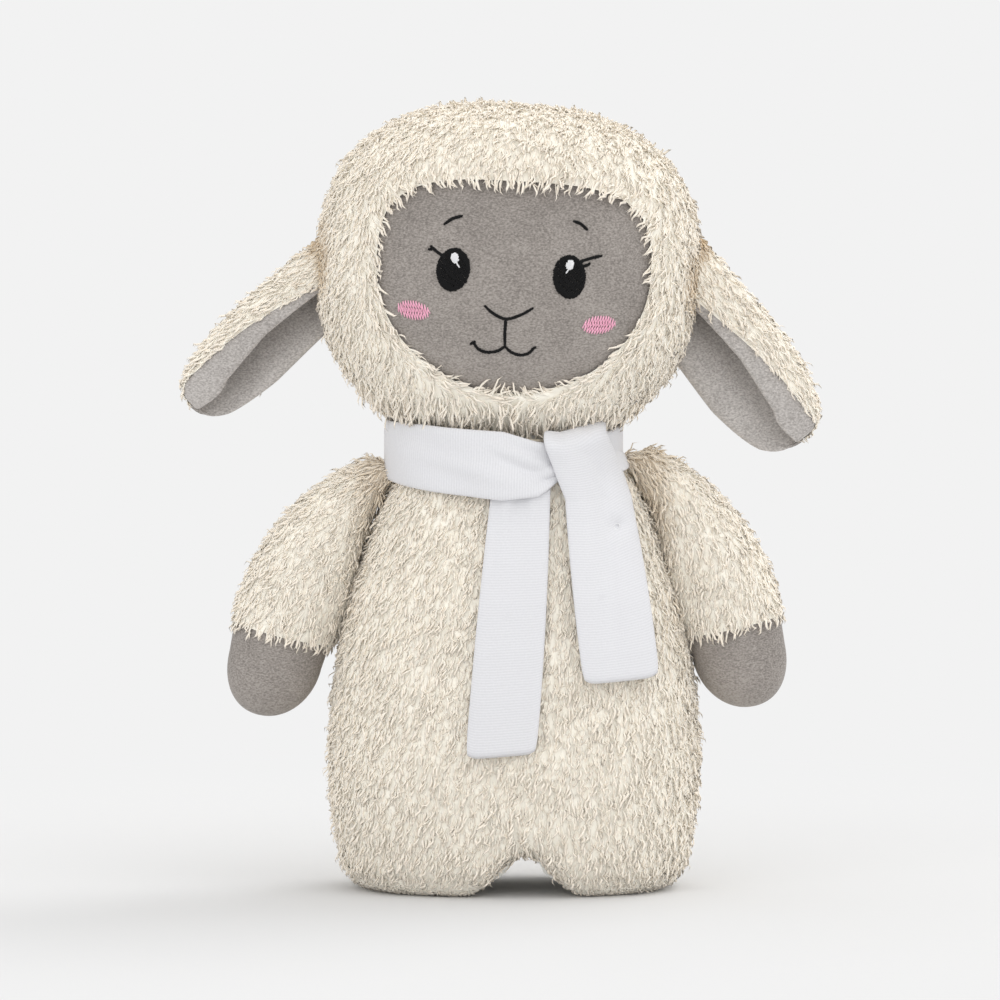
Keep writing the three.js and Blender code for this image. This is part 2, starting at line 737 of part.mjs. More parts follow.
// The loop round the neck, swollen by grow.
function scarfLoop(grow) {
  const [inner, outer] = [-grow, jerseyThickness + grow];
  const spread = grow / scarfLoopWidth;
  const shoulder = jerseyThickness / 2 / scarfLoopWidth;
  const section = [
    [1 - shoulder + spread, inner],
    [1 + spread, (inner + outer) / 2],
    [1 - shoulder + spread, outer],
    [1 / 2, outer],
    [shoulder - spread, outer],
    [-spread, (inner + outer) / 2],
    [shoulder - spread, inner],
  ];
  const rings = Array.from({ length: scarfSegments }, (_, i) =>
    section.map(([up, out]) => onLoop(i / scarfSegments - 1 / 2, up, out)),
  );
  return looped(rings);
}

// The point of the loop's front that lies at a place across it.
function loopFront(x, up, out) {
  const along = THREE.MathUtils.clamp((x - scarfShift) / (scarfHalfWidth + out), -1, 1);
  return onLoop(Math.asin(along) / (2 * Math.PI), up, out);
}

const turnGap = restGap + seamGap;
const overLoop = (x) =>
  turnGap - Math.min(...[0, 1].map((up) => loopFront(x, up, jerseyThickness).y));

// The end that is folded over the loop: down in front of it, over its top, and tucked behind.
function scarfTurn() {
  const half = jerseyThickness / 2;
  // Height above the foot as a share of the way to the loop's top, height over that top, and
  // the loop's side that the cloth lies on, with its outer side facing forwards and up.
  const path = [
    { share: 0, over: 0, layer: 1, forwards: 1, upwards: 0 },
    { share: 1 / 2, over: 0, layer: 1, forwards: 1, upwards: 0 },
    { share: 1, over: 0, layer: 1, forwards: 1, upwards: 0 },
    { share: 1, over: scarfTurnRise, layer: 1 / 2, forwards: 0, upwards: 1 },
    { share: 1, over: 0, layer: 0, forwards: -1, upwards: 0 },
    { share: 1, over: -scarfTurnTuck, layer: 0, forwards: -1, upwards: 0 },
  ];
  const grid = (side) =>
    path.map(({ share, over, layer, forwards, upwards }) => {
      const [left, right] = [0, 1].map((k) =>
        THREE.MathUtils.lerp(scarfTurnFoot[k], scarfTurnTop[k], share),
      );
      return Array.from({ length: tailColumns + 1 }, (_, j) => {
        const x = THREE.MathUtils.lerp(left, right, j / tailColumns);
        const top = loopFront(x, 1, layer * jerseyThickness);
        const z = THREE.MathUtils.lerp(scarfHeight - scarfTurnDrop, top.z, share) + over;
        const inFront = Math.max(overLoop(x), torsoFront(x, z) + turnGap) + half;
        const behind = -top.y + forwards * (turnGap + half);
        const y = (forwards > 0 ? inFront : behind) + side * forwards * half;
        return new THREE.Vector3(x, -y, z + side * upwards * half);
      });
    });
  return sheeted(grid(1).reverse(), grid(-1).reverse());
}

// A tail that hangs from its top edge and lies on the torso where it reaches it.
function scarfTail(top, topEdges, hem, hemEdges, hangDepth) {
  const grid = (thickness) =>
    Array.from({ length: tailRows + 1 }, (_, i) => {
      const t = i / tailRows;
      const z = THREE.MathUtils.lerp(top, hem, t);
      const [left, right] = [0, 1].map((k) => THREE.MathUtils.lerp(topEdges[k], hemEdges[k], t));
      return Array.from({ length: tailColumns + 1 }, (_, j) => {
        const x = THREE.MathUtils.lerp(left, right, j / tailColumns);
        const fold = tailFoldHeight * tailFoldShares[j] * Math.sin((Math.PI * (1 + t)) / 2) ** 2;
        const lying = Math.max(torsoFront(x, z) + turnGap, hangDepth(x));
        return new THREE.Vector3(x, -lying - fold - thickness, z);
      });
    });
  return sheeted(grid(jerseyThickness), grid(0));
}

function buildScarf(group, headSpace) {
  const seat = torsoSolid(restGap);
  addPiece(group, "scarf_loop", scarfLoop(0).subtract(seat), jersey);
  const turn = scarfTurn().subtract(seat).subtract(scarfLoop(restGap)).subtract(headSpace);
  addPiece(group, "scarf_turn", turn, jersey);
  const shortTailTop = scarfHeight - scarfTurnDrop - restGap;
  const shortTail = scarfTail(
    shortTailTop,
    scarfTurnFoot,
    shortTailHem,
    shortTailHemEdges,
    overLoop,
  ).subtract(seat);
  addPiece(group, "scarf_short_tail", shortTail, jersey);
  const longTail = scarfTail(
    scarfHeight - longTailDrop,
    longTailTopEdges,
    longTailHem,
    longTailHemEdges,
    () => 0,
  ).subtract(seat);
  addPiece(group, "scarf_long_tail", longTail, jersey);
  const tackX = scarfTurnFoot[1] - tackInset;
  const tackZ = shortTailTop - tackDrop;
  const onTail = Math.max(torsoFront(tackX, tackZ) + turnGap, overLoop(tackX));
  const tack = new THREE.SphereGeometry(tackRadius, tackSegments, tackSegments / 2).scale(1, tackHeight / tackRadius, 1);
  const tackSolid = solidOf(tack)
    .translate([tackX, -onTail - jerseyThickness - tackHeight, tackZ])
    .subtract(shortTail.translate([0, -restGap, 0]));
  addPiece(group, "scarf_tack", tackSolid, whiteThread);
}

// The whole sheep
const sheep = new THREE.Group();
buildTorso(sheep);
buildNeck(sheep);

const head = new THREE.Group();
head.position.set(headShift, 0, neckBallHeight + headRise);
head.rotation.y = headTilt;
sheep.add(head);
sheep.updateMatrixWorld(true);
buildHead(head);
buildEye(head, "left", 1);
buildEye(head, "right", -1);
buildMuzzle(head);
buildEar(head, "left", 1, {
  length: leftEarLength,
  halfHeight: leftEarHalfHeight,
  halfDepth: leftEarHalfDepth,
  droop: leftEarDroop,
  hingeHeight: leftEarHingeHeight,
});
buildEar(head, "right", -1, {
  length: rightEarLength,
  halfHeight: rightEarHalfHeight,
  halfDepth: rightEarHalfDepth,
  droop: rightEarDroop,
  hingeHeight: rightEarHingeHeight,
});

const scarfSpace = scarfLoop(restGap + seamGap);
const leftArm = { reach: leftArmReach, rootHeight: leftArmRootHeight };
const rightArm = { reach: rightArmReach, rootHeight: rightArmRootHeight };
buildArm(sheep, "left", 1, leftArm, scarfSpace);
buildArm(sheep, "right", -1, rightArm, scarfSpace);
buildScarf(sheep, moved(headSolid(headPlay), head.matrixWorld));
sheep.position.x = stanceShift;

export default sheep;
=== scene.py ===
import json
from math import cos, pi, radians, sin

import bmesh
import bpy
import numpy as np
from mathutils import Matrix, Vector

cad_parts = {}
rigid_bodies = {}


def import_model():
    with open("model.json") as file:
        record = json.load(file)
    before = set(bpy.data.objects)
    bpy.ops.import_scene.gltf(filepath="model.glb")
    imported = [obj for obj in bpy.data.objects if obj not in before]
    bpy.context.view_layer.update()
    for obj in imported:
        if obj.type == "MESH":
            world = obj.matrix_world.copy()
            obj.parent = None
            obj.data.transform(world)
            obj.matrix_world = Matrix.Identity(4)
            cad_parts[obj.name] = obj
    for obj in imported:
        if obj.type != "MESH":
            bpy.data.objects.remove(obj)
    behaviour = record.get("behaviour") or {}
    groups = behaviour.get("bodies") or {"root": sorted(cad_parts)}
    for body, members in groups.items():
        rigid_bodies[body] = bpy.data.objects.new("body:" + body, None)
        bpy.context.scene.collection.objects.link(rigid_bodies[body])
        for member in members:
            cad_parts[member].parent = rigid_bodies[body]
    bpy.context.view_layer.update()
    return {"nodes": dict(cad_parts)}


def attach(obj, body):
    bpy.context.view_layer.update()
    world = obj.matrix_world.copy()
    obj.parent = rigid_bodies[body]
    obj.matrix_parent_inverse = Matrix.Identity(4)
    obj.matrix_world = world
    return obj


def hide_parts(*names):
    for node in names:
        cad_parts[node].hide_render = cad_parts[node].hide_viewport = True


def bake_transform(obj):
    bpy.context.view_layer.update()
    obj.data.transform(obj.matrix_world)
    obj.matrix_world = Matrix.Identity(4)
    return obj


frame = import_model()
scene = bpy.context.scene

# The view: a long lens looks at the sheep from straight in front and a little above, so that the
# ears and arms keep their size. Lengths here and below are in millimetres.
millimetre = 0.001
picture_width = 340
view_target = (-1.8, 0, 132.4)
view_rise = radians(4)
view_distance = 2600
view_reach = 20000
sensor_width = 36

camera_data = bpy.data.cameras.new("front_view")
camera_data.sensor_width = sensor_width
camera_data.lens = sensor_width * view_distance / picture_width
camera_data.clip_end = view_reach * millimetre
camera = bpy.data.objects.new("front_view", camera_data)
scene.collection.objects.link(camera)
away = Vector((0, -cos(view_rise), sin(view_rise))) * view_distance
camera.location = (Vector(view_target) + away) * millimetre
camera.rotation_euler = (pi / 2 - view_rise, 0, 0)
scene.camera = camera
scene.view_settings.view_transform = "Standard"


def linear(shade):
    """An sRGB hex colour as the linear red, green, blue and alpha that a shader takes."""
    parts = [int(shade[i : i + 2], 16) / 255 for i in (1, 3, 5)]
    return (*(p / 12.92 if p <= 0.04045 else ((p + 0.055) / 1.055) ** 2.4 for p in parts), 1)


def add(tree, kind, inputs=(), **settings):
    """A node with its settings, its inputs set or linked to nodes. A hex string is a colour."""
    node = tree.nodes.new(kind)
    for name, value in settings.items():
        setattr(node, name, value)
    shown = [socket for socket in node.inputs if socket.enabled]
    for key, value in dict(inputs).items():
        socket = shown[key] if isinstance(key, int) else next(s for s in shown if s.name == key)
        for one in value if isinstance(value, list) else [value]:
            if isinstance(one, bpy.types.Node):
                one = next(s for s in one.outputs if s.enabled)
            if isinstance(one, bpy.types.NodeSocket):
                tree.links.new(one, socket)
            else:
                socket.default_value = linear(one) if socket.type == "RGBA" else one
    return node


# The light: a pale room all round the toy does most of the lighting, with a wide lamp high on the
# sheep's left, one behind it and a weak one in front, so that a colour shows about as written.
# A lamp has its strength, how wide it spreads and how it is turned, in degrees.
lamps = [
    ("key_light", 0.45, 60, (38, 0, 50)),
    ("back_light", 0.8, 40, (48, 0, 128)),
    ("fill_light", 0.35, 60, (68, 0, -28)),
]
room_strength = 0.96
room_light = "#FFFFFF"
paper = "#F2F2F2"

for name, strength, spread, turn in lamps:
    lamp = bpy.data.lights.new(name, "SUN")
    lamp.energy = strength
    lamp.angle = radians(spread)
    holder = bpy.data.objects.new(name, lamp)
    holder.rotation_euler = [radians(angle) for angle in turn]
    scene.collection.objects.link(holder)

# The room lights the toy with plain white, and shows the eye and any reflection a pale paper.
room = bpy.data.worlds.new("pale_room")
room.use_nodes = True
tree = room.node_tree
tree.nodes.clear()
path = add(tree, "ShaderNodeLightPath").outputs
seen = path["Is Camera Ray"]
for ray in ("Is Glossy Ray", "Is Transmission Ray"):
    seen = add(tree, "ShaderNodeMath", {0: seen, 1: path[ray]}, operation="MAXIMUM")
lit = add(tree, "ShaderNodeBackground", {"Color": room_light, "Strength": room_strength})
shown = add(tree, "ShaderNodeBackground", {"Color": paper})
either = add(tree, "ShaderNodeMixShader", {0: seen, 1: lit, 2: shown})
add(tree, "ShaderNodeOutputWorld", {"Surface": either})
scene.world = room

# The table: a pale sheet of paper under the toy. It takes the toy's shadow near the feet and
# melts into the background further out.
table_size = 3000
table_fade = (190, 430)
table_shade = "#DBDBDB"

table_mesh = bpy.data.meshes.new("table")
half_table = table_size / 2 * millimetre
corners = [(x * half_table, y * half_table, 0) for x, y in ((-1, -1), (1, -1), (1, 1), (-1, 1))]
table_mesh.from_pydata(corners, [], [(0, 1, 2, 3)])
table = bpy.data.objects.new("table", table_mesh)
scene.collection.objects.link(table)

# Matt paper: it has no shine, so that the eye gets only the shadow that falls on it.
matt_paper = bpy.data.materials.new("matt_paper")
matt_paper.use_nodes = True
tree = matt_paper.node_tree
tree.nodes.clear()
place = add(tree, "ShaderNodeTexCoord").outputs["Object"]
reach = add(tree, "ShaderNodeVectorMath", {0: place}, operation="LENGTH")
near, far = (distance * millimetre for distance in table_fade)
fade = add(
    tree,
    "ShaderNodeMapRange",
    {"Value": reach, "From Min": near, "From Max": far},
    interpolation_type="SMOOTHSTEP",
)
matt = add(tree, "ShaderNodeBsdfDiffuse", {"Color": table_shade})
glow = add(tree, "ShaderNodeEmission", {"Color": paper})
melt = add(tree, "ShaderNodeMixShader", {0: fade, 1: matt, 2: glow})
add(tree, "ShaderNodeOutputMaterial", {"Surface": melt})
table_mesh.materials.append(matt_paper)


# Torso: a bag of curly fleece in a front panel, two back panels and two soles, sewn inside out
# and stuffed hard. Its two leg stubs stand apart by an arch. The pile is a mass of short curled
# locks that lie down the body and hide the seams. The profile has shares of width and depth.
stance_shift = 3
torso_height = 150
torso_half_width = 63
torso_half_depth = 40
torso_power = 2.3
torso_profile = [
    (0, 0.79, 0.74),
    (0.02, 0.87, 0.84),
    (0.06, 0.93, 0.92),
    (0.13, 0.965, 0.97),
    (0.22, 0.99, 0.995),
    (0.31, 1, 1),
    (0.45, 0.975, 0.985),
    (0.56, 0.94, 0.955),
    (0.67, 0.885, 0.91),
    (0.76, 0.805, 0.855),
    (0.85, 0.735, 0.785),
    (0.93, 0.64, 0.75),
    (1, 0.52, 0.72),
]
torso_radius = 52
torso_rings = 72
torso_rings_lower = 1.15
sole_rings = 19
neck_hole = 0.85, 0.7
arch_half_width = 24
arch_height = 14.5
arch_offset = 3.5
arch_fade = 34
arch_softness = 1.5
backing_depth = 0.4
mesh_step = 2.2
table_gap = 0.2
doubled = 1e-6
collapsed = 1e-7


def bulge(t, power):
    """The superellipse's answer to a sine or cosine."""
    return np.sign(t) * np.abs(t) ** (2 / power)


def ramp(at, start, end):
    """0 at a place, 1 at another and even in between."""
    return np.clip((at - start) / (end - start), 0, 1)


def hump(*steps):
    """1 in the middle of a soft round spot, and near 0 two steps away from it."""
    return np.exp(-sum(step**2 for step in steps))


def shares_at(table, at):
    """The shares of a table's rows at a place between them."""
    table = np.array(table)
    return [np.interp(at, table[:, 0], table[:, k]) for k in range(1, table.shape[1])]


def turns_round(radius):
    """The angles of points that lie a mesh step apart round a form."""
    return np.linspace(0, 2 * pi, int(2 * pi * radius / mesh_step) // 4 * 4, endpoint=False)


def quads(rows, columns, closed):
    """The faces between the points of a grid, joined round if it is closed."""
    i, j = np.meshgrid(
        np.arange(rows - 1), np.arange(columns if closed else columns - 1), indexing="ij"
    )
    a = i * columns + j
    b = i * columns + (j + 1) % columns
    return np.stack([a, b, b + columns, a + columns], -1).reshape(-1, 4)


def smoothed(mesh):
    """A mesh that the eye sees as one curved surface."""
    mesh.polygons.foreach_set("use_smooth", [True] * len(mesh.polygons))
    return mesh


def mesh_of(name, points, faces):
    """A mesh in metres from points in millimetres, without stray or doubled points."""
    used, places = np.unique(faces, return_inverse=True)
    mesh = bpy.data.meshes.new(name)
    points = (points[used] * millimetre).tolist()
    mesh.from_pydata(points, [], places.reshape(faces.shape).tolist())
    work = bmesh.new()
    work.from_mesh(mesh)
    bmesh.ops.remove_doubles(work, verts=work.verts, dist=doubled)
    bmesh.ops.dissolve_degenerate(work, edges=work.edges, dist=collapsed)
    work.to_mesh(mesh)
    work.free()
    return smoothed(mesh)


def covered(mesh, material):
    """Gives a mesh its one material."""
    mesh.materials.clear()
    mesh.materials.append(material)


def piece_of(name, mesh, material):
    """A piece of the toy with its mesh and its material."""
    piece = bpy.data.objects.new(name, mesh)
    scene.collection.objects.link(piece)
    covered(mesh, material)
    return piece


working_attributes = "comb", "pile", "tone", "up", "around", "own tone", "half", "out"


def made_by(piece, nodes, values):
    """Runs a Geometry Nodes tree on a piece and keeps only the plain mesh that it makes."""
    modifier = piece.modifiers.new("made", "NODES")
    modifier.node_group = nodes
    keys = {item.name: item.identifier for item in nodes.interface.items_tree}
    for name, value in values.items():
        modifier[keys[name]] = value
    graph = bpy.context.evaluated_depsgraph_get()
    mesh = bpy.data.meshes.new_from_object(piece.evaluated_get(graph))
    mesh.name = piece.name
    piece.modifiers.clear()
    piece.data = mesh
    for name in working_attributes:
        if name in mesh.attributes:
            mesh.attributes.remove(mesh.attributes[name])
    return piece


def tree_of(name, inputs, result):
    """An empty Geometry Nodes tree with its named inputs and its one result."""
    tree = bpy.data.node_groups.new(name, "GeometryNodeTree")
    for key, kind in inputs.items():
        tree.interface.new_socket(key, in_out="INPUT", socket_type=f"NodeSocket{kind}")
    tree.interface.new_socket(result, in_out="OUTPUT", socket_type="NodeSocketGeometry")
    return tree, add(tree, "NodeGroupInput").outputs


cloth_shine = 0.25
sheen_roughness = 0.45


def plain_material(name, shade, rough, sheen):
    """A cloth's material with its base colour left for the caller to link."""
    material = bpy.data.materials.new(name)
    material.use_nodes = True
    material.diffuse_color = linear(shade)
    shader = material.node_tree.nodes["Principled BSDF"].inputs
    for key, value in (
        ("Base Color", linear(shade)),
        ("Roughness", rough),
        ("Specular IOR Level", cloth_shine),
        ("Sheen Weight", sheen),
        ("Sheen Roughness", sheen_roughness),
    ):
        shader[key].default_value = value
    return material, material.node_tree, shader


# Lambskin-style fleece of polyester: knitted, then curled in a tumbler. It gives the eye a soft
# matt cream. Its low tones are tan, most of all at the roots of the locks: painted shade, which
# the
# pile's tone puts in creases and seams. At full tone a root is painted a little paler than its
# tip:
# painted light against the shade deep in the pile.
root_shades = "#BFA077", "#FFFAEE"
tip_shades = "#D9C3A0", "#FEF4E5"
fleece_roughness = 0.95
fleece_sheen = 0.35
root_to_tip = 0.05, 0.6
dark_to_pale = 0.05, 0.6

fleece, tree, shader = plain_material(
    "curled_polyester_fleece", tip_shades[1], fleece_roughness, fleece_sheen
)
lock_map = add(tree, "ShaderNodeUVMap", uv_map="OFBake")
on_lock = add(tree, "ShaderNodeSeparateXYZ", {0: lock_map}).outputs
low, high = root_to_tip
up_lock = add(
    tree,
    "ShaderNodeMapRange",
    {"Value": on_lock["Y"], "From Min": low, "From Max": high},
    interpolation_type="SMOOTHSTEP",
)
low, high = dark_to_pale
how_pale = add(
    tree, "ShaderNodeMapRange", {"Value": on_lock["X"], "From Min": low, "From Max": high}
)
root_colour, tip_colour = (
    add(tree, "ShaderNodeMix", {"Factor": how_pale, "A": dark, "B": pale}, data_type="RGBA")
    for dark, pale in (root_shades, tip_shades)
)
whole = add(
    tree, "ShaderNodeMix", {"Factor": up_lock, "A": root_colour, "B": tip_colour}, data_type="RGBA"
)
tree.links.new(whole.outputs["Result"], shader["Base Color"])

# A lock is a three-sided blade of fibre that curls and thins to its tip. Eight kinds of it are
# enough for the pile. A pair of numbers is the range that a lock's own number comes from.
lock_length = 4.8
lock_section = [(-0.26, 0), (0.09, -0.46), (0.09, 0.46)]
lock_kinds = 8
lock_rings = [0, 0.35, 0.75]
lock_curl = 1.1
lock_bend = 0.9
lock_sag = 0.2
lock_foot = 0.85
lock_belly = 0.3
turn_range = 0.5, 1.2
curl_range = 0.5, 1.2
length_range = 0.85, 1.15


def lock_mesh(number):
    """One curled lock standing on the origin, with how far up and round it each point lies."""
    dice = np.random.default_rng(number)
    turn, phase = dice.uniform(*turn_range), dice.uniform(0, 2 * pi)
    curl = lock_curl * dice.uniform(*curl_range)
    length = lock_length * dice.uniform(*length_range)

    def middle(t):
        angle = 2 * pi * turn * t + phase
        wind = curl * t * np.array([cos(angle), sin(angle)])
        return np.array([wind[0] + lock_bend * t * t, wind[1], length * t * (1 - lock_sag * t)])

    points, up, around = [], [], []
    for t in lock_rings:
        girth = (lock_foot + lock_belly * sin(pi * t**0.8)) * (1 - t**4) ** 0.5
        for k, (x, y) in enumerate(lock_section):
            points.append(middle(t) + girth * np.array([x, y, 0]))
            up.append(t)
            around.append(k / (len(lock_section) - 1))
    points.append(middle(1))
    up.append(1)
    around.append(0.5)
    sides = len(lock_section)
    tip = len(points) - 1
    last_ring = tip - sides
    faces = quads(len(lock_rings), sides, True).tolist()
    faces += [(last_ring + k, last_ring + (k + 1) % sides, tip) for k in range(sides)]
    mesh = bpy.data.meshes.new(f"lock_{number}")
    mesh.from_pydata([tuple(p * millimetre) for p in points], [], faces)
    for name, values in (("up", up), ("around", around)):
        mesh.attributes.new(name, "FLOAT", "POINT").data.foreach_set("value", values)
    return smoothed(mesh)


locks = bpy.data.collections.new("locks")
scene.collection.children.link(locks)
for number in range(lock_kinds):
    mesh = lock_mesh(number)
    locks.objects.link(bpy.data.objects.new(mesh.name, mesh))

# The pile is one Geometry Nodes tree: locks rooted evenly on a backing, combed, drawn into
# clumps, and mapped by their tone and height.
lock_spacing = 1.12
roots_tried = 4
lock_lean = radians(83)
lock_stray = 0.22
lock_tuft = 0.3
tuft_rarity = 4
least_rise = 0.12
drift_size = 7
drift = 0.7
clump_size = 3.2
clump_pull = 0.8
comb_softness = 0.05
chances = {
    "twist": (-0.35, 0.35),
    "girth": (0.8, 1.2),
    "length": (0.7, 1.2),
    "kind": (0, lock_kinds - 0.01),
    "tone": (0.68, 1),
    "backing tone": (0, 0.1),
    "backing height": (0.004, 0.02),
    "rise": (0, 1),
}
curly_pile, given = tree_of(
    "curly_pile",
    {
        "Backing": "Geometry",
        "Locks": "Collection",
        "Spacing": "Float",
        "Lean": "Float",
        "Stray": "Float",
        "Tuft": "Float",
        "Clump size": "Float",
        "Clump pull": "Float",
        "Seed": "Int",
        "Fleece": "Material",
    },
    "Pile",
)
tree = curly_pile
closest = add(
    tree, "ShaderNodeMath", {0: given["Spacing"], 1: given["Spacing"]}, operation="MULTIPLY"
)
densest = add(tree, "ShaderNodeMath", {0: roots_tried, 1: closest}, operation="DIVIDE")
roots = add(
    tree,
    "GeometryNodeDistributePointsOnFaces",
    {
        "Mesh": given["Backing"],
        "Distance Min": given["Spacing"],
        "Density Max": densest,
        "Seed": given["Seed"],
    },
    distribute_method="POISSON",
).outputs
place = add(tree, "GeometryNodeInputPosition")
comb, pile, tone, tint, round_it, up_it = (
    add(tree, "GeometryNodeInputNamedAttribute", {"Name": name}, data_type=kind)
    for name, kind in (
        ("comb", "FLOAT_VECTOR"),
        ("pile", "FLOAT"),
        ("tone", "FLOAT"),
        ("own tone", "FLOAT"),
        ("around", "FLOAT"),
        ("up", "FLOAT"),
    )
)
own = {
    name: add(
        tree,
        "FunctionNodeRandomValue",
        {
            "Min": low,
            "Max": high,
            "Seed": add(tree, "ShaderNodeMath", {0: given["Seed"], 1: salt}, operation="ADD"),
        },
    )
    for salt, (name, (low, high)) in enumerate(chances.items(), start=1)
}

# Which way a lock stands: up and along the comb, with a slow drift, a chance part of its own, and
# a pull to the middle of its clump. It never dives into the backing.
tuft = add(tree, "ShaderNodeMath", {0: own["rise"], 1: tuft_rarity}, operation="POWER")
tuft = add(tree, "ShaderNodeMath", {0: tuft, 1: given["Tuft"]}, operation="MULTIPLY")
upright = add(tree, "ShaderNodeMath", {0: given["Lean"]}, operation="COSINE")
upright = add(tree, "ShaderNodeMath", {0: upright, 1: tuft}, operation="ADD")
lying = add(tree, "ShaderNodeMath", {0: given["Lean"]}, operation="SINE")
noise = add(tree, "ShaderNodeTexNoise", {"Vector": place, "Scale": 1 / (drift_size * millimetre)})
wander = add(
    tree,
    "ShaderNodeVectorMath",
    {0: noise.outputs["Color"], 1: (drift,) * 3, 2: (-drift / 2,) * 3},
    operation="MULTIPLY_ADD",
)
chance = add(
    tree,
    "FunctionNodeRandomValue",
    {"Min": (-1,) * 3, "Max": (1,) * 3, "Seed": given["Seed"]},
    data_type="FLOAT_VECTOR",
)
clumps = add(tree, "ShaderNodeMath", {0: 1, 1: given["Clump size"]}, operation="DIVIDE")
clump = add(tree, "ShaderNodeTexVoronoi", {"Vector": place, "Scale": clumps}).outputs["Position"]
inwards = add(tree, "ShaderNodeVectorMath", {0: clump, 1: place}, operation="SUBTRACT")
pull = add(tree, "ShaderNodeMath", {0: given["Clump pull"], 1: clumps}, operation="MULTIPLY")
rise, lie, stray, gather = (
    add(tree, "ShaderNodeVectorMath", {0: way, "Scale": strength}, operation="SCALE")
    for way, strength in (
        (roots["Normal"], upright),
        (comb, lying),
        (chance, given["Stray"]),
        (inwards, pull),
    )
)
way = rise
for part in (lie, wander, stray, gather):
    way = add(tree, "ShaderNodeVectorMath", {0: way, 1: part}, operation="ADD")
height = add(tree, "ShaderNodeVectorMath", {0: way, 1: roots["Normal"]}, operation="DOT_PRODUCT")
sunk = add(
    tree, "ShaderNodeMath", {0: least_rise, 1: height}, operation="SUBTRACT", use_clamp=True
)
raised = add(tree, "ShaderNodeVectorMath", {0: roots["Normal"], "Scale": sunk}, operation="SCALE")
way = add(tree, "ShaderNodeVectorMath", {0: way, 1: raised}, operation="ADD")

# Each lock is set on its root, with its bend along the comb and its own twist, girth and length.
stood = add(tree, "FunctionNodeAlignRotationToVector", {"Vector": way}, axis="Z")
faced = add(
    tree,
    "FunctionNodeAlignRotationToVector",
    {"Rotation": stood, "Vector": comb},
    axis="X",
    pivot_axis="Z",
)
twist = add(
    tree, "FunctionNodeAxisAngleToRotation", {"Axis": (0, 0, 1), "Angle": own["twist"]}
)
turned = add(tree, "FunctionNodeRotateRotation", {0: faced, 1: twist}, rotation_space="LOCAL")
length = add(tree, "ShaderNodeMath", {0: pile, 1: own["length"]}, operation="MULTIPLY")
size = add(tree, "ShaderNodeCombineXYZ", {"X": own["girth"], "Y": own["girth"], "Z": length})
kinds = add(
    tree,
    "GeometryNodeCollectionInfo",
    {"Collection": given["Locks"], "Separate Children": True, "Reset Children": True},
)
planted = add(
    tree,
    "GeometryNodeInstanceOnPoints",
    {
        "Points": roots["Points"],
        "Instance": kinds,
        "Pick Instance": True,
        "Instance Index": add(tree, "ShaderNodeMath", {0: own["kind"]}, operation="FLOOR"),
        "Rotation": turned,
        "Scale": size,
    },
)
toned = add(
    tree,
    "GeometryNodeStoreNamedAttribute",
    {
        "Geometry": planted,
        "Name": "own tone",
        "Value": add(tree, "ShaderNodeMath", {0: tone, 1: own["tone"]}, operation="MULTIPLY"),
    },
    data_type="FLOAT",
    domain="INSTANCE",
)
loose = add(tree, "GeometryNodeRealizeInstances", {"Geometry": toned})

# The map has a lock's tone across it and the way from root to tip up it. The backing lies along
# its foot, in darker tones: painted shade in the gaps between the locks. Nothing sinks below the
# table.
strip_width, strip_margin = 0.02, 0.01
tone_span = 0.96
height_span, height_foot = 0.94, 0.03
backing_tone_span = 0.7
no_limit = -9
edge = add(
    tree,
    "ShaderNodeMath",
    {0: round_it, 1: strip_width, 2: strip_margin},
    operation="MULTIPLY_ADD",
)
lock_across, lock_up, back_across = (
    add(tree, "ShaderNodeMath", {0: value, 1: span, 2: foot}, operation="MULTIPLY_ADD")
    for value, span, foot in (
        (tint, tone_span, edge),
        (up_it, height_span, height_foot),
        (tone, backing_tone_span, own["backing tone"]),
    )
)
mapped = [
    add(
        tree,
        "GeometryNodeStoreNamedAttribute",
        {
            "Geometry": geometry,
            "Name": "OFBake",
            "Value": add(tree, "ShaderNodeCombineXYZ", {"X": across, "Y": up}),
        },
        data_type="FLOAT2",
        domain="CORNER",
    )
    for geometry, across, up in (
        (given["Backing"], back_across, own["backing height"]),
        (loose, lock_across, lock_up),
    )
]
both = add(tree, "GeometryNodeJoinGeometry", {"Geometry": mapped})
above = add(
    tree,
    "ShaderNodeVectorMath",
    {0: place, 1: (no_limit, no_limit, table_gap * millimetre)},
    operation="MAXIMUM",
)
lifted = add(tree, "GeometryNodeSetPosition", {"Geometry": both, "Position": above})
painted = add(tree, "GeometryNodeSetMaterial", {"Geometry": lifted, "Material": given["Fleece"]})
add(tree, "NodeGroupOutput", {"Pile": painted})


def grown(name, mesh, comb, pile, tone, seed, body, nodes):
    """A fleece panel: its backing with a pile combed, shortened and toned as the place asks."""
    count = len(mesh.vertices)
    places, normals = np.empty(count * 3), np.empty(count * 3)
    mesh.vertices.foreach_get("co", places)
    mesh.vertices.foreach_get("normal", normals)
    places, normals = places.reshape(-1, 3) / millimetre, normals.reshape(-1, 3)
    combed = comb(places)
    combed = combed - normals * (combed * normals).sum(1, keepdims=True)
    combed /= np.linalg.norm(combed, axis=1, keepdims=True) + comb_softness
    for key, kind, values in (
        ("comb", "FLOAT_VECTOR", combed),
        ("pile", "FLOAT", pile(places)),
        ("tone", "FLOAT", tone(places)),
    ):
        layer = mesh.attributes.new(key, kind, "POINT")
        layer.data.foreach_set("vector" if values.ndim == 2 else "value", values.ravel())
    piece = made_by(
        piece_of(name, mesh, fleece),
        curly_pile,
        {
            "Locks": locks,
            "Spacing": lock_spacing * millimetre,
            "Lean": lock_lean,
            "Stray": lock_stray,
            "Tuft": lock_tuft,
            "Clump size": clump_size * millimetre,
            "Clump pull": clump_pull,
            "Seed": seed,
            "Fleece": fleece,
        },
    )
    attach(piece, body)
    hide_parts(*nodes)


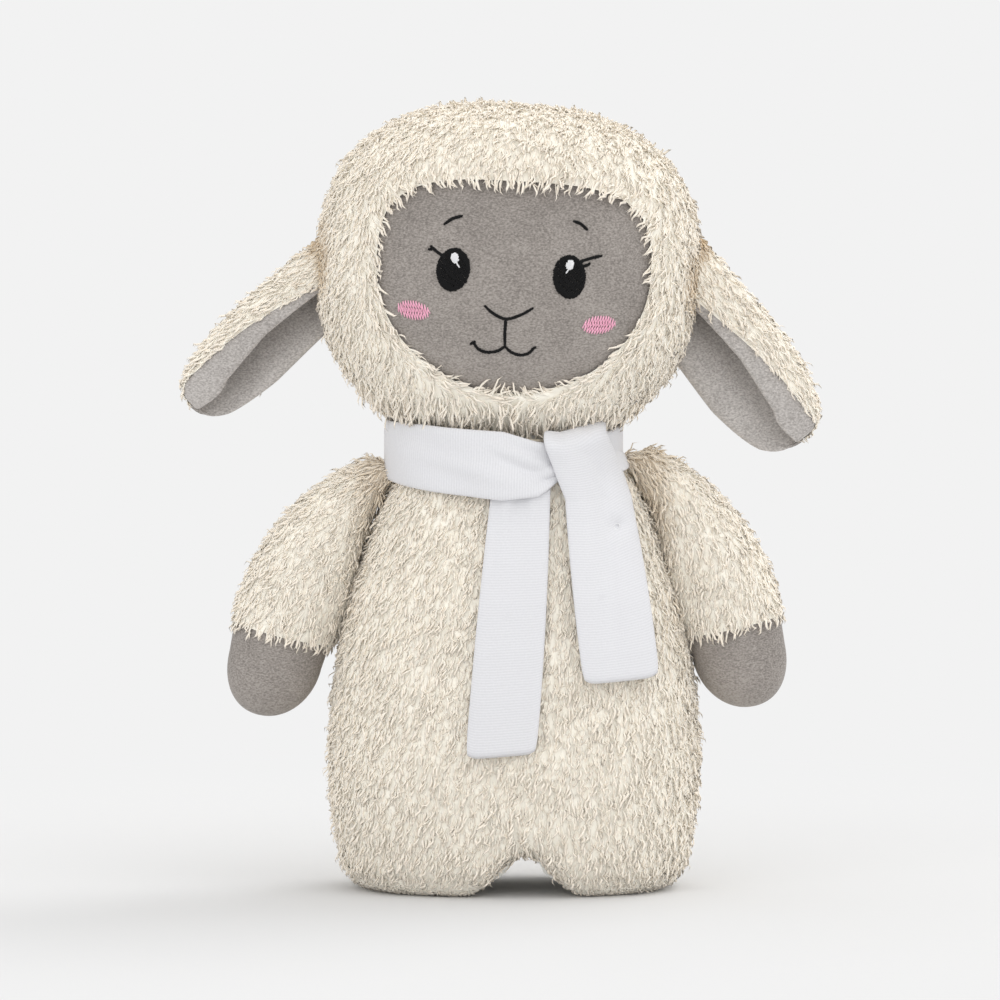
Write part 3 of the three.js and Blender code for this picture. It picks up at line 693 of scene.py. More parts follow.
def torso_ring(height, grow, angles, share=1.0):
    """Points round the torso at a height, swollen by grow and drawn in to a share of its girth."""
    width, depth = shares_at(torso_profile, height / torso_height)
    x = (width * torso_half_width + grow) * share * bulge(np.cos(angles), torso_power)
    y = (depth * torso_half_depth + grow) * share * bulge(np.sin(angles), torso_power)
    return np.stack([x, y, np.full_like(x, height)], -1)


def arch_lift(x):
    """How high the arch between the legs stands over the table at a place across the toy."""
    share = np.clip(np.abs(x - arch_offset) / arch_half_width, 0, 1)
    return arch_height * (0.5 + 0.5 * np.cos(pi * share)) ** arch_softness


turns = turns_round(torso_radius)
rings = []
for share in np.linspace(0, 1, sole_rings + 1)[:-1]:
    ring = torso_ring(0, -backing_depth, turns, share)
    ring[:, 2] = backing_depth
    rings.append(ring)
for height in np.linspace(0, 1, torso_rings) ** torso_rings_lower * torso_height:
    ring = torso_ring(height, -backing_depth, turns)
    ring[:, 2] = max(height, backing_depth)
    rings.append(ring)
rings += [torso_ring(torso_height, -backing_depth, turns, share) for share in neck_hole]
torso_rows = np.array(rings)
fading = np.clip(1 - torso_rows[..., 2] / arch_fade, 0, 1) ** arch_softness
torso_rows[..., 2] += arch_lift(torso_rows[..., 0]) * fading
torso_rows[..., 0] += stance_shift
torso_points = torso_rows.reshape(-1, 3)
torso_faces = quads(len(torso_rows), len(turns), True)
centres = torso_points[torso_faces].mean(1)
under = (np.arange(len(torso_faces)) // len(turns)) < sole_rings
left = centres[:, 0] > stance_shift
left_foot = centres[:, 0] > stance_shift + arch_offset
behind = ~under & (centres[:, 1] >= 0)


# The torso's pile by place: how it is combed, where it is shorter, and where its tone paints shade
# and light. A place and a reach are across and up the body, and a span is between two heights.
comb_spread = 0.35
comb_round = 0.01
foot_height = 8
sole_pile, sole_rise = 0.35, 9
collar_pile, collar_above, collar_reach = 0.45, 6, 20
collar_foot = 128
feet_span = 75, 30
arch_reach = 12, 16
armpit_place, armpit_reach = (56, 108), (9, 34)
darkest = 0.1
torso_painted_light_and_shade = {"plain": 0.92, "feet": 0.08, "arch": 0.45, "armpit": 0.3, "collar": 0.3}


def torso_comb(places):
    """Down the body and a little outwards, and outwards under the feet."""
    x = (places[:, 0] - stance_shift) / torso_half_width
    low = ramp(places[:, 2], foot_height, 0)
    round_body = places[:, 1] * comb_round * (1 + low)
    return np.stack([comb_spread * x + low * x, round_body, -1 + 0 * x], -1)


def torso_pile(places):
    """Shorter under the feet and under the scarf."""
    z = places[:, 2]
    neck = (torso_height + collar_above - z) / collar_reach
    return np.clip(z / sole_rise, sole_pile, 1) * np.clip(neck, collar_pile, 1)


def torso_tone(places):
    """Painted light towards the feet, and painted shade in the arch, in the armpits and under the
    scarf.
    """
    x, z = places[:, 0] - stance_shift, places[:, 2]
    arch = hump((x - arch_offset) / arch_reach[0], z / arch_reach[1])
    armpit = hump((np.abs(x) - armpit_place[0]) / armpit_reach[0])
    armpit = armpit * hump((z - armpit_place[1]) / armpit_reach[1])
    tone = torso_painted_light_and_shade["plain"] + torso_painted_light_and_shade["feet"] * ramp(z, *feet_span)
    tone = tone - torso_painted_light_and_shade["arch"] * arch - torso_painted_light_and_shade["armpit"] * armpit
    tone = tone - torso_painted_light_and_shade["collar"] * ramp(z, collar_foot, torso_height)
    return np.clip(tone, darkest, 1)


for seed, (name, kept, node) in enumerate(
    (
        ("torso_front_fleece", ~under & (centres[:, 1] < 0), "torso_front_panel"),
        ("torso_back_left_fleece", behind & left, "torso_back_left_panel"),
        ("torso_back_right_fleece", behind & ~left, "torso_back_right_panel"),
        ("left_sole_fleece", under & left_foot, "left_sole"),
        ("right_sole_fleece", under & ~left_foot, "right_sole"),
    )
):
    mesh = mesh_of(name, torso_points, torso_faces[kept])
    grown(name, mesh, torso_comb, torso_pile, torso_tone, seed, "torso", [node])


# Neck: a ball of fibre that the head turns on, drawn together by a thread. The scarf and the
# pile hide it, so it keeps its plain shape, as do the fillings of the body, head and arms.
# Polyester fibre: crimped and blown in, which gives the eye a matt white wad with soft tufts.
fibre_shade = "#F3F2EE"
fibre_shades = "#DEDCD4", "#F9F8F5"
fibre_roughness = 0.95
fibre_sheen = 0.1
fibre_tuft = 3

fibre, tree, shader = plain_material(
    "white_polyester_fibre", fibre_shade, fibre_roughness, fibre_sheen
)
place = add(tree, "ShaderNodeTexCoord").outputs["Object"]
tuft = add(
    tree,
    "ShaderNodeTexNoise",
    {"Vector": place, "Scale": 1 / (fibre_tuft * millimetre), "Detail": 3},
)
dark, pale = fibre_shades
tufts = add(tree, "ShaderNodeMix", {"Factor": tuft, "A": dark, "B": pale}, data_type="RGBA")
tree.links.new(tufts.outputs["Result"], shader["Base Color"])
for name in ("neck", "torso", "head", "left_arm", "right_arm"):
    covered(frame["nodes"][f"{name}_filling"].data, fibre)


# Head: a round bag of the same fleece, as a front panel round the face and two back panels. The
# pile on the crown is combed forwards and hangs over the face as a fringe.
head_centre = (stance_shift - 2, 0, torso_height + 62)
head_tilt = radians(3.3)
head_half_width = 64.5
head_half_depth = 46
head_half_height = 54.5
head_upright_power = 2.5
head_level_power = 2.2
head_radius = 56
head_rings = 76
face_half_width = 46
face_shift = 1.8
face_top = 30
face_bottom = 41.5
face_top_power = 3.3
face_bottom_power = 1.95
face_tuck = 1.2
chin_drop = 4
chin_front_drop = 5
chin_front = 25
no_place = (0, 0, 0)


def swung(points, angle, centre):
    """Points turned about the front-to-back axis, then moved to a centre."""
    x, y, z = np.moveaxis(points, -1, 0)
    turned = np.stack([x * cos(angle) + z * sin(angle), y, z * cos(angle) - x * sin(angle)], -1)
    return turned + np.array(centre)


def in_head(places):
    """Places of the toy as places across, behind and above the head's middle."""
    return swung(places - np.array(head_centre), -head_tilt, no_place).T


def head_ring(rise, grow, angles):
    """Points round the head at an angle above its middle, swollen by grow."""
    share = bulge(np.cos(rise), head_upright_power)
    x = (head_half_width + grow) * share * bulge(np.cos(angles), head_level_power)
    y = (head_half_depth + grow) * share * bulge(np.sin(angles), head_level_power)
    z = (head_half_height + grow) * bulge(np.sin(rise), head_upright_power)
    return np.stack([x, y, np.full_like(x, z)], -1)


def head_front(x, z, grow):
    """How far forward the head reaches at a place across and up it."""
    tall = np.clip(np.abs(z) / (head_half_height + grow), 0, 1) ** (head_upright_power / 2)
    share = bulge(np.sqrt(1 - tall**2), head_upright_power)
    wide = np.abs(x) / ((head_half_width + grow) * np.maximum(share, 1e-6))
    wide = np.clip(wide, 0, 1) ** (head_level_power / 2)
    return (head_half_depth + grow) * share * bulge(np.sqrt(1 - wide**2), head_level_power)


def face_form(upper):
    """The height and the power of the face's outline above or below its middle."""
    height = np.where(upper, face_top, face_bottom)
    return height, np.where(upper, face_top_power, face_bottom_power)


def face_outline(x, z):
    """Below 1 inside the face's outline, and above 1 outside it."""
    tall, power = face_form(z >= 0)
    across = np.abs((x - face_shift) / face_half_width)
    return (across**power + np.abs(z / tall) ** power) ** (1 / power)


turns = turns_round(head_radius)
rises = np.linspace(-pi / 2, pi / 2, head_rings)
head_local = np.array([head_ring(rise, -backing_depth, turns) for rise in rises]).reshape(-1, 3)
lowness = np.clip(-head_local[:, 2] / head_half_height, 0, 1) ** 3
forwards = np.clip(-head_local[:, 1] / chin_front, 0, 1)
head_local[:, 2] -= lowness * (chin_drop + chin_front_drop * forwards)
head_faces = quads(len(rises), len(turns), True)
centres = head_local[head_faces].mean(1)
level = face_outline(head_local[:, 0], head_local[:, 2])
level = np.where(head_local[:, 1] < 0, level, 2)
open_face = (level[head_faces] < 1).all(1)
back = centres[:, 1] >= 0
left = centres[:, 0] > 0

# The points just inside the face's outline move out onto it, which gives the opening a clean edge.
edge = (level < 1) & (level > 0.5)
x, z = head_local[edge, 0], head_local[edge, 2]
x = face_shift + (x - face_shift) / level[edge]
z = z / level[edge]
head_local[edge] = np.stack([x, -head_front(x, z, -backing_depth), z], -1)
head_points = swung(head_local, head_tilt, head_centre)

# The head's pile by place, as on the torso, from the head's middle, with painted shade and light
# in its tone. The rim is the face's edge, and the crease is where an ear is sewn on. Its third
# reach is from front to back.
rim_width = 0.12
rim_pile_width = 0.1
crown_comb, crown_span, crown_height = 0.9, (12, 42), 45
side_comb, side_reach = 0.25, 60
rim_comb = 1.1
rim_lift = 1.2
chin_span = -40, -52
under_span = -38, -54
fringe_place, fringe_reach = (4, face_top + 3), (18, 6)
crease_place, crease_reach = (62, -2), (5, 14, 22)
head_piles = {"chin": 1.3, "fringe": 0.4, "rim": 0.35, "crease": 0.5}
head_painted_light_and_shade = {"plain": 0.94, "crown": 0.12, "crease": 0.9, "under": 0.25}


def face_rim(x, y, z, width):
    """Near 1 at the face's edge."""
    return hump((face_outline(x, z) - 1) / width) * (y < 0)


def ear_crease(x, y, z):
    """Near 1 where an ear is sewn to the head."""
    across, up = crease_place
    wide, tall, deep = crease_reach
    return hump((np.abs(x) - across) / wide, (z - up) / tall, y / deep)


def head_comb(places):
    """Forwards over the crown, a little over the face's edge all round it, and down elsewhere."""
    x, y, z = in_head(places)
    near = face_rim(x, y, z, rim_width)
    inwards = -np.sign(x - face_shift) * np.clip(np.abs(x - face_shift) / face_half_width, 0, 1)
    side = side_comb * x / side_reach * (1 - near) + rim_comb * inwards * near
    down = -1 + rim_lift * near * np.clip(-z / face_bottom, 0, 1) ** 2
    return np.stack([side, -crown_comb * ramp(z, *crown_span), down], -1)


def head_pile(places):
    """Longer under the chin and over the face's edge, and short where the ears begin."""
    x, y, z = in_head(places)
    across, up = (x - fringe_place[0]) / fringe_reach[0], (z - fringe_place[1]) / fringe_reach[1]
    fringe = hump(across, up) * (y < 0)
    pile = 1 + head_piles["chin"] * ramp(z, *chin_span) + head_piles["fringe"] * fringe
    pile = pile + head_piles["rim"] * face_rim(x, y, z, rim_pile_width)
    return pile - head_piles["crease"] * ear_crease(x, y, z)


def head_tone(places):
    """Painted shade where the ears are sewn on, on the crown and underneath."""
    x, y, z = in_head(places)
    tone = head_painted_light_and_shade["plain"] - head_painted_light_and_shade["crown"] * np.clip(z / crown_height, -1, 1)
    tone = tone - head_painted_light_and_shade["crease"] * ear_crease(x, y, z)
    return np.clip(tone - head_painted_light_and_shade["under"] * ramp(z, *under_span), darkest, 1)


for seed, (name, kept) in enumerate(
    (
        ("head_front", ~back & ~open_face),
        ("head_back_left", back & left),
        ("head_back_right", back & ~left),
    ),
    start=10,
):
    mesh = mesh_of(f"{name}_fleece", head_points, head_faces[kept])
    nodes = [f"{name}_panel"]
    grown(f"{name}_fleece", mesh, head_comb, head_pile, head_tone, seed, "head", nodes)


# Face: one panel of grey velboa, a knitted velvet with a short dense pile, let into the front of
# the head. The fleece overlaps its edge.
velboa_shades = "#7A746F", "#ABA49E"
velboa_roughness = 0.9
velboa_sheen = 0.12
velboa_grain = 0.5
velboa_stretch = (0.6, 0.6, 1)
velboa_contrast = 0.32, 0.68
velboa_depth = 0.22
velboa_relief = 0.6
velboa_patch = 14
velboa_patch_contrast = 0.35, 0.65
velboa_patchiness = 0.09
velboa_painted_light_below = 0.3
face_cloth = 1.6
face_hem = 2
face_middle = -4
face_rings = 34
face_turns = 160


def velboa_cloth(name, shades):
    """Velboa between two shades, painted paler where it faces downwards: painted light from below.
    """
    cloth, tree, shader = plain_material(name, shades[0], velboa_roughness, velboa_sheen)
    spot = add(tree, "ShaderNodeTexCoord").outputs
    stretch = add(tree, "ShaderNodeMapping", {"Vector": spot["Object"], "Scale": velboa_stretch})
    grain = add(
        tree,
        "ShaderNodeTexNoise",
        {
            "Vector": stretch,
            "Scale": 1 / (velboa_grain * millimetre),
            "Detail": 2,
            "Roughness": 0.65,
        },
    )
    lying = add(
        tree,
        "ShaderNodeTexNoise",
        {"Vector": spot["Object"], "Scale": 1 / (velboa_patch * millimetre), "Detail": 2},
    )
    spots, patches = (
        add(
            tree,
            "ShaderNodeMapRange",
            {"Value": value, "From Min": low, "From Max": high, "To Min": least, "To Max": most},
        )
        for value, (low, high), least, most in (
            (grain, velboa_contrast, 0, 1),
            (lying, velboa_patch_contrast, -velboa_patchiness, velboa_patchiness),
        )
    )
    facing = add(tree, "ShaderNodeSeparateXYZ", {0: spot["Normal"]}).outputs["Z"]
    patches_and_painted_light = add(
        tree,
        "ShaderNodeMath",
        {0: facing, 1: -velboa_painted_light_below, 2: patches},
        operation="MULTIPLY_ADD",
    )
    lightness = add(
        tree, "ShaderNodeMath", {0: spots, 1: patches_and_painted_light}, operation="ADD", use_clamp=True
    )
    dark, pale = shades
    grain_and_painted_light_colour = add(
        tree, "ShaderNodeMix", {"Factor": lightness, "A": dark, "B": pale}, data_type="RGBA"
    )
    tree.links.new(grain_and_painted_light_colour.outputs["Result"], shader["Base Color"])
    nap = add(
        tree,
        "ShaderNodeBump",
        {"Height": grain, "Strength": velboa_relief, "Distance": velboa_depth * millimetre},
    )
    tree.links.new(nap.outputs["Normal"], shader["Normal"])
    return cloth


def skin(rows, place, closed, turned):
    """The points of a grid in their place, and its faces, turned round where they must be."""
    faces = quads(*rows.shape[:2], closed)
    return place(rows.reshape(-1, 3)), faces[:, ::-1] if turned else faces


def thickened(piece, thickness):
    """Gives a sheet the thickness of its cloth, on its inner side."""
    cloth = piece.modifiers.new("cloth", "SOLIDIFY")
    cloth.thickness = thickness * millimetre
    cloth.offset = -1


def set_in_head(points):
    """Points of the head's own space, moved to where the head is."""
    return swung(points, head_tilt, head_centre)


# Short-pile velboa: knitted polyester with a cut and steamed pile. It gives the eye a matt warm
# grey, painted paler where it faces downwards: painted light from below. Its grain is drawn
# coarser than the fibres, to show.
velboa = velboa_cloth("short_pile_velboa", velboa_shades)

around = np.linspace(0, 2 * pi, face_turns, endpoint=False)
tall, power = face_form(np.sin(around) >= 0)
rim = np.stack(
    [
        face_shift + (face_half_width + face_hem) * bulge(np.cos(around), power),
        (tall + face_hem) * bulge(np.sin(around), power),
    ],
    -1,
)
middle = np.array([face_shift, face_middle])
flat = middle + (rim - middle) * np.linspace(0, 1, face_rings)[:, None, None]
x, z = flat[..., 0], flat[..., 1]
face_rows = np.stack([x, -head_front(x, z, -face_tuck), z], -1)
mesh = mesh_of("face_velboa", *skin(face_rows, set_in_head, True, True))
face = piece_of("face_velboa", mesh, velboa)
thickened(face, face_cloth)
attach(face, "head")
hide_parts("face_panel")


# Embroidery: eyes, glints, lashes, brows, cheeks, nose and mouth, machine-sewn through the face
# in shiny thread. Each is a run of satin stitches, thread by thread, standing on the velboa.
# Places are across and up from the head's middle, and tilts and slants in degrees.
thread_radius = 0.19
thread_arch = 0.34
thread_sides = 6
thread_bends = [-1, -0.93, -0.72, -0.35, 0.35, 0.72, 0.93, 1]
thread_end = 0.35
fill_spacing = 0.36
fill_stitch = 3.4
fill_overrun = -0.1, 0.25
brick_shift = 0.45
line_spacing = 0.34
line_half_width = 0.6
line_slant = radians(62)
line_wobble = 0.12
line_widths = 0.85, 1.15
line_taper = 0.3
line_taper_rate = 6
line_padding = 0.1
stitch_dome = 0.25
face_step = 0.5
glint_half_width = 0.3
glint_lift = 0.45
cheek_spacing = 0.43
cheek_sway = 0.22

eyes = {
    "right_eye": {"middle": (-18.4, -0.6), "half": (5.6, 7.3), "tilt": -6, "slant": 62},
    "left_eye": {"middle": (20.4, -0.8), "half": (5.5, 7.3), "tilt": 6, "slant": 62},
}
glints = {
    "right_eye_glint": (
        {"middle": (-18, 3.3), "half": (1.3, 1.7), "tilt": 10, "slant": 80},
        [(-17.7, 2.6), (-17.1, 1.4), (-16.4, 0.4)],
    ),
    "left_eye_glint": (
        {"middle": (20.3, 3.2), "half": (1.3, 1.7), "tilt": -10, "slant": 80},
        [(20.2, 2.5), (19.8, 1.5), (19.2, 0.5)],
    ),
}
cheeks = {
    "right_cheek": {"middle": (-30.9, -15), "half": (5.5, 3), "tilt": -9, "slant": 104},
    "left_cheek": {"middle": (31.3, -16.4), "half": (5.5, 3), "tilt": 11, "slant": 76},
}
lines = {
    "right_eyelash": [[(-21.6, 3.6), (-24, 4.9), (-26.3, 6.8)], [(-25.3, 5.8), (-27, 5.7)]],
    "left_eyelash": [
        [(22.6, 3.9), (25.6, 5.2), (28.7, 6.2), (30.8, 6.7)],
        [(24.9, 3.2), (26.1, 3.3), (27, 4)],
    ],
    "right_brow": [[(-16.4, 17.4), (-19.5, 16.4), (-22.3, 14.3)]],
    "left_brow": [[(20.8, 17.9), (23.4, 16.9), (25.5, 15.1)]],
    "nose_and_mouth": [
        [(-7.2, -12), (-4.2, -14.4), (0.1, -16), (4.9, -14.4), (8.9, -11.9)],
        [(0.1, -16), (0, -20.5), (0.3, -25.2)],
        [(0.3, -25.2), (-2, -26.9), (-5.6, -27.6), (-8.6, -26.6), (-10.4, -24.3)],
        [(0.3, -25.2), (2.2, -26.9), (5.2, -27.9), (8.2, -27.2), (10, -25.3)],
        [(-11.3, -25.1), (-9.7, -24.3)],
        [(9.3, -25.6), (10.6, -25)],
    ],
}


def smooth_path(points, count):
    """Evenly spaced points on the smooth curve that passes through some others."""
    knots = np.array(points, float)
    ends = np.concatenate([2 * knots[:1] - knots[1:2], knots, 2 * knots[-1:] - knots[-2:-1]])
    t = np.linspace(0, 1, 24, endpoint=False)[:, None]
    curve = []
    for a, b, c, d in zip(ends, ends[1:], ends[2:], ends[3:]):
        bend = (2 * a - 5 * b + 4 * c - d) * t**2 + (3 * b - a - 3 * c + d) * t**3
        curve.append(0.5 * (2 * b + (c - a) * t + bend))
    curve = np.concatenate([*curve, knots[-1:]])
    run = np.concatenate([[0], np.cumsum(np.linalg.norm(np.diff(curve, axis=0), axis=1))])
    at = np.linspace(0, run[-1], count)
    return np.stack([np.interp(at, run, column) for column in curve.T], -1), run[-1]


def heading(degrees):
    """The direction at an angle above level, across and up the face."""
    return np.array([cos(radians(degrees)), sin(radians(degrees))])


def filled(oval, spacing, dice, sway=0.0):
    """The stitches of a filled oval, as middles, half vectors and heights of its padding."""
    along, aside = heading(oval["slant"]), heading(oval["slant"] + 90)
    across_way, up_way = heading(oval["tilt"]), heading(oval["tilt"] + 90)
    into = np.array([across_way / oval["half"][0], up_way / oval["half"][1]])
    reach = max(oval["half"])
    stitches = []
    for row, offset in enumerate(np.arange(-reach, reach, spacing)):
        start, way = into @ (offset * aside), into @ along
        half = (start @ way) ** 2 - (way @ way) * (start @ start - 1)
        if half <= 0:
            continue
        low, high = (-(start @ way) + np.array([-1, 1]) * half**0.5) / (way @ way)
        low, high = low - dice.uniform(*fill_overrun), high + dice.uniform(*fill_overrun)
        pieces = max(1, round((high - low) / fill_stitch))
        cuts = np.linspace(low, high, pieces + 1)
        cuts[1:-1] += (0.5 if row % 2 else -0.5) * fill_stitch * brick_shift
        for a, b in zip(cuts, cuts[1:]):
            lean = (1 if row % 2 else -1) * sway * aside
            middle = np.array(oval["middle"]) + offset * aside + (a + b) / 2 * along
            rise = stitch_dome * (1 - offset**2 / reach**2)
            stitches.append((*middle, *((b - a) / 2 * along + lean), rise))
    return stitches


def lined(points, dice, half_width=line_half_width):
    """The slanted stitches of an embroidered line through some points, finer at its ends."""
    length = smooth_path(points, 2)[1]
    path = smooth_path(points, max(3, round(length / line_spacing)))[0]
    ways = np.gradient(path, axis=0)
    stitches = []
    for share, middle, way in zip(np.linspace(0, 1, len(path)), path, ways):
        wobble = dice.uniform(-line_wobble, line_wobble)
        angle = np.arctan2(way[1], way[0]) + line_slant + wobble
        full = min(1, line_taper_rate * share, line_taper_rate * (1 - share))
        half = half_width * (1 - line_taper + line_taper * full) * dice.uniform(*line_widths)
        stitches.append((*middle, half * cos(angle), half * sin(angle), line_padding))
    return stitches


thread_mesh = bpy.data.meshes.new("thread")
round_thread = np.linspace(0, 2 * pi, thread_sides, endpoint=False)
rows = []
for bend in thread_bends:
    girth = thread_radius * (thread_end if abs(bend) == 1 else 1)
    height = thread_arch * (1 - bend**4) - thread_radius
    rows.append([(bend, girth * cos(a), height + girth * sin(a)) for a in round_thread])
points = np.array(rows).reshape(-1, 3) * [1, millimetre, millimetre]
faces = quads(len(rows), thread_sides, True).tolist()
first_end = list(range(thread_sides))
last_end = list(range(len(points) - 1, len(points) - 1 - thread_sides, -1))
thread_mesh.from_pydata(points.tolist(), [], faces + [first_end, last_end])
thread = bpy.data.objects.new("thread", smoothed(thread_mesh))
scene.collection.objects.link(thread)

# The stitching is one Geometry Nodes tree: a thread on each point, as long as its own half
# vector and standing out from the cloth.
satin_stitch, given = tree_of(
    "satin_stitch", {"Stitches": "Geometry", "Thread": "Object", "Yarn": "Material"}, "Sewn"
)
tree = satin_stitch
half, out = (
    add(tree, "GeometryNodeInputNamedAttribute", {"Name": name}, data_type="FLOAT_VECTOR")
    for name in ("half", "out")
)
turned = add(
    tree,
    "FunctionNodeAxesToRotation",
    {"Primary Axis": half, "Secondary Axis": out},
    primary_axis="X",
    secondary_axis="Z",
)
long = add(tree, "ShaderNodeVectorMath", {0: half}, operation="LENGTH")
size = add(tree, "ShaderNodeCombineXYZ", {"X": long, "Y": 1, "Z": 1})
spool = add(tree, "GeometryNodeObjectInfo", {"Object": given["Thread"]}).outputs["Geometry"]
sewn = add(
    tree,
    "GeometryNodeInstanceOnPoints",
    {"Points": given["Stitches"], "Instance": spool, "Rotation": turned, "Scale": size},
)
joined = add(tree, "GeometryNodeRealizeInstances", {"Geometry": sewn})
dyed = add(tree, "GeometryNodeSetMaterial", {"Geometry": joined, "Material": given["Yarn"]})
add(tree, "NodeGroupOutput", {"Sewn": dyed})


def sewn_from(name, yarn, places, halves, outs):
    """A piece of satin stitches from their middles, half vectors and ways out of the cloth."""
    mesh = bpy.data.meshes.new(name)
    mesh.from_pydata((places * millimetre).tolist(), [], [])
    for key, values in (("half", halves * millimetre), ("out", outs)):
        layer = mesh.attributes.new(key, "FLOAT_VECTOR", "POINT")
        layer.data.foreach_set("vector", values.ravel())
    piece = piece_of(name, mesh, yarn)
    return made_by(piece, satin_stitch, {"Thread": thread, "Yarn": yarn})


def embroidered(name, yarn, stitches):
    """A piece of embroidery on the face, from stitches laid out across and up it."""
    x, z, dx, dz, rise = np.array(stitches).T

    def on_face(x, z):
        return np.stack([x, -head_front(x, z, -face_tuck), z], -1)

    aside = on_face(x + face_step, z) - on_face(x - face_step, z)
    upwards = on_face(x, z + face_step) - on_face(x, z - face_step)
    outs = np.cross(aside, upwards)
    outs /= np.linalg.norm(outs, axis=1, keepdims=True)
    halves = (on_face(x + dx, z + dz) - on_face(x - dx, z - dz)) / 2
    places = set_in_head(on_face(x, z) + outs * rise[:, None])
    halves, outs = (swung(v, head_tilt, no_place) for v in (halves, outs))
    piece = sewn_from(f"{name}_stitching", yarn, places, halves, outs)
    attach(piece, "head")
    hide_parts(name)


# Polyester embroidery thread: drawn, twisted and dyed. It gives the eye a gloss along each stitch,
# with lighter flecks where the twist glints. A real twist is finer than these flecks of 0.5 mm.
thread_roughness = 0.42
thread_fleck = 0.5


def spun(name, shades, shine):
    """Polyester thread between two shades, with the shine that its dye leaves it."""
    material, tree, shader = plain_material(name, shades[1], thread_roughness, 0.0)
    shader["Specular IOR Level"].default_value = shine
    place = add(tree, "ShaderNodeTexCoord").outputs["Object"]
    fleck = 1 / (thread_fleck * millimetre)
    twist = add(tree, "ShaderNodeTexNoise", {"Vector": place, "Scale": fleck})
    low, high = shades
    tint = add(tree, "ShaderNodeMix", {"Factor": twist, "A": low, "B": high}, data_type="RGBA")
    tree.links.new(tint.outputs["Result"], shader["Base Color"])
    return material


black_yarn = spun("black_polyester_thread", ("#060607", "#121213"), 0.22)
white_yarn = spun("white_polyester_thread", ("#E4E4E6", "#F4F4F5"), 0.4)
pink_yarn = spun("pink_polyester_thread", ("#EEA3C0", "#FFC8DB"), 0.4)
cream_yarn = spun("cream_polyester_thread", ("#D9CDB8", "#EFE6D5"), 0.3)
covered(frame["nodes"]["neck_gathering_thread"].data, cream_yarn)

dice = np.random.default_rng(7)
for name, oval in eyes.items():
    embroidered(name, black_yarn, filled(oval, fill_spacing, dice))
for name, (oval, tail) in glints.items():
    stitches = filled(oval, fill_spacing, dice) + lined(tail, dice, glint_half_width)
    raised = [(*stitch[:4], stitch[4] + glint_lift) for stitch in stitches]
    embroidered(name, white_yarn, raised)
for name, oval in cheeks.items():
    embroidered(name, pink_yarn, filled(oval, cheek_spacing, dice, cheek_sway))
for name, strokes in lines.items():
    stitches = [stitch for stroke in strokes for stitch in lined(stroke, dice)]
    embroidered(name, black_yarn, stitches)


# Ears: each a fleece back and a grey velboa lining, sewn to the head by a gathered root and
# rolled into a trough, so that the lining faces down and forwards. The left one is longer.
# Edges and bands are angles round the ear's section, in degrees, by shares of its length.
ear_hinge_inset = 2
ear_hinge_back = 3
ear_root_tuck = 4
ear_root_share = 0.955
ear_sag = 6
ear_cap_share = 0.7
ear_tip_power = 2.9
ear_swell = [(0, 1.16, 1), (0.14, 1.06, 1), (0.3, 1, 1), (1, 1, 1)]
ear_top_edge = [(0, -4), (0.2, 8), (0.5, 30), (0.8, 48), (1, 95)]
ear_foot_edge = [(0, -112), (0.6, -112), (1, -170)]
ear_band = [(0, 6), (0.2, 14), (0.5, 34), (0.75, 62), (0.9, 100), (1, 140)]
ear_belly = [(0, 0), (0.3, 0.12), (0.6, 0.28), (0.85, 0.26), (1, 0.1)]
ear_comb_drop = 0.15
ear_root_pile, ear_most_pile, ear_tip_pile = 0.5, 1.1, 0.6
ear_pile_rise, ear_pile_fall, ear_pile_end = 4, 5, 1.05
# The ear's tone paints shade into the crease at its root, darkest there and palest further out.
ear_darkest, ear_palest, ear_tone_rise = 0.02, 0.98, 6
ear_hem = 0.6
ear_cloth = 0.8
ear_rows = 48
ear_back_columns = 60
trough_depth = 0.4
trough_least = 25
trough_hidden = 16
wall_columns = 44
band_columns = 16
band_lip = 0.95, 0.2, 0.05
lining_tuck = 5
ear_sizes = {
    "left": {"side": 1, "length": 79, "tall": 16.4, "deep": 9, "droop": 43.7, "hinge": 12},
    "right": {"side": -1, "length": 75, "tall": 12.8, "deep": 10, "droop": 41.8, "hinge": 5},
}

# The same velboa as the face in paler shades: painted light on the ear's lining.
painted_light_velboa = velboa_cloth("brushed_velboa", ("#98938F", "#CAC5C1"))

path_steps = 400
cap_steps = 600


def pod_rows(spine, size, swell, cap, cap_power, grow, angles, rows, start=0.0, stop=1.0):
    """Rings round a curved spine with a rounded end, from one share of its length to another."""
    path, total = smooth_path(spine, path_steps)
    slope = np.gradient(path, axis=0)
    slope /= np.linalg.norm(slope, axis=1, keepdims=True)
    body = total - cap
    even = np.linspace(0, 1, cap_steps)
    cap_at = body + (cap + grow) * bulge(np.sin(even * pi / 2), cap_power)
    at = np.concatenate([np.linspace(0, body, path_steps), cap_at])
    share = np.concatenate([np.ones(path_steps), bulge(np.cos(even * pi / 2), cap_power)])
    wide, deep = shares_at(swell, at / total)
    surface = np.cumsum(np.hypot(np.diff(at), np.diff(share) * size[0]))
    surface = np.concatenate([[0], surface])
    low, high = np.interp([start * total, min(stop * total, total + grow)], at, surface)
    picked = np.linspace(low, high if stop < 1 else surface[-1], rows)
    at, share, wide, deep = (np.interp(picked, surface, v) for v in (at, share, wide, deep))
    run = np.linspace(0, total, path_steps)
    centre = np.stack([np.interp(at, run, c) for c in path.T], -1)
    along = np.stack([np.interp(at, run, c) for c in slope.T], -1)
    centre += along * (at - np.clip(at, 0, total))[:, None]
    across = np.stack([along[:, 2], 0 * at, -along[:, 0]], -1)
    width = ((wide * size[0] + grow) * share)[:, None, None]
    depth = ((deep * size[1] + grow) * share)[:, None]
    angles = np.atleast_2d(angles)
    points = centre[:, None] + across[:, None] * width * np.cos(angles)[..., None]
    points[..., 1] += depth * np.sin(angles)
    return points, along


def ring_angles(levels, tall, deep):
    """The places round an oval ring that lie at angles above level, seen from its middle."""
    levels = np.radians(levels)
    return np.arctan2(-np.cos(levels) / deep, -np.sin(levels) / tall)


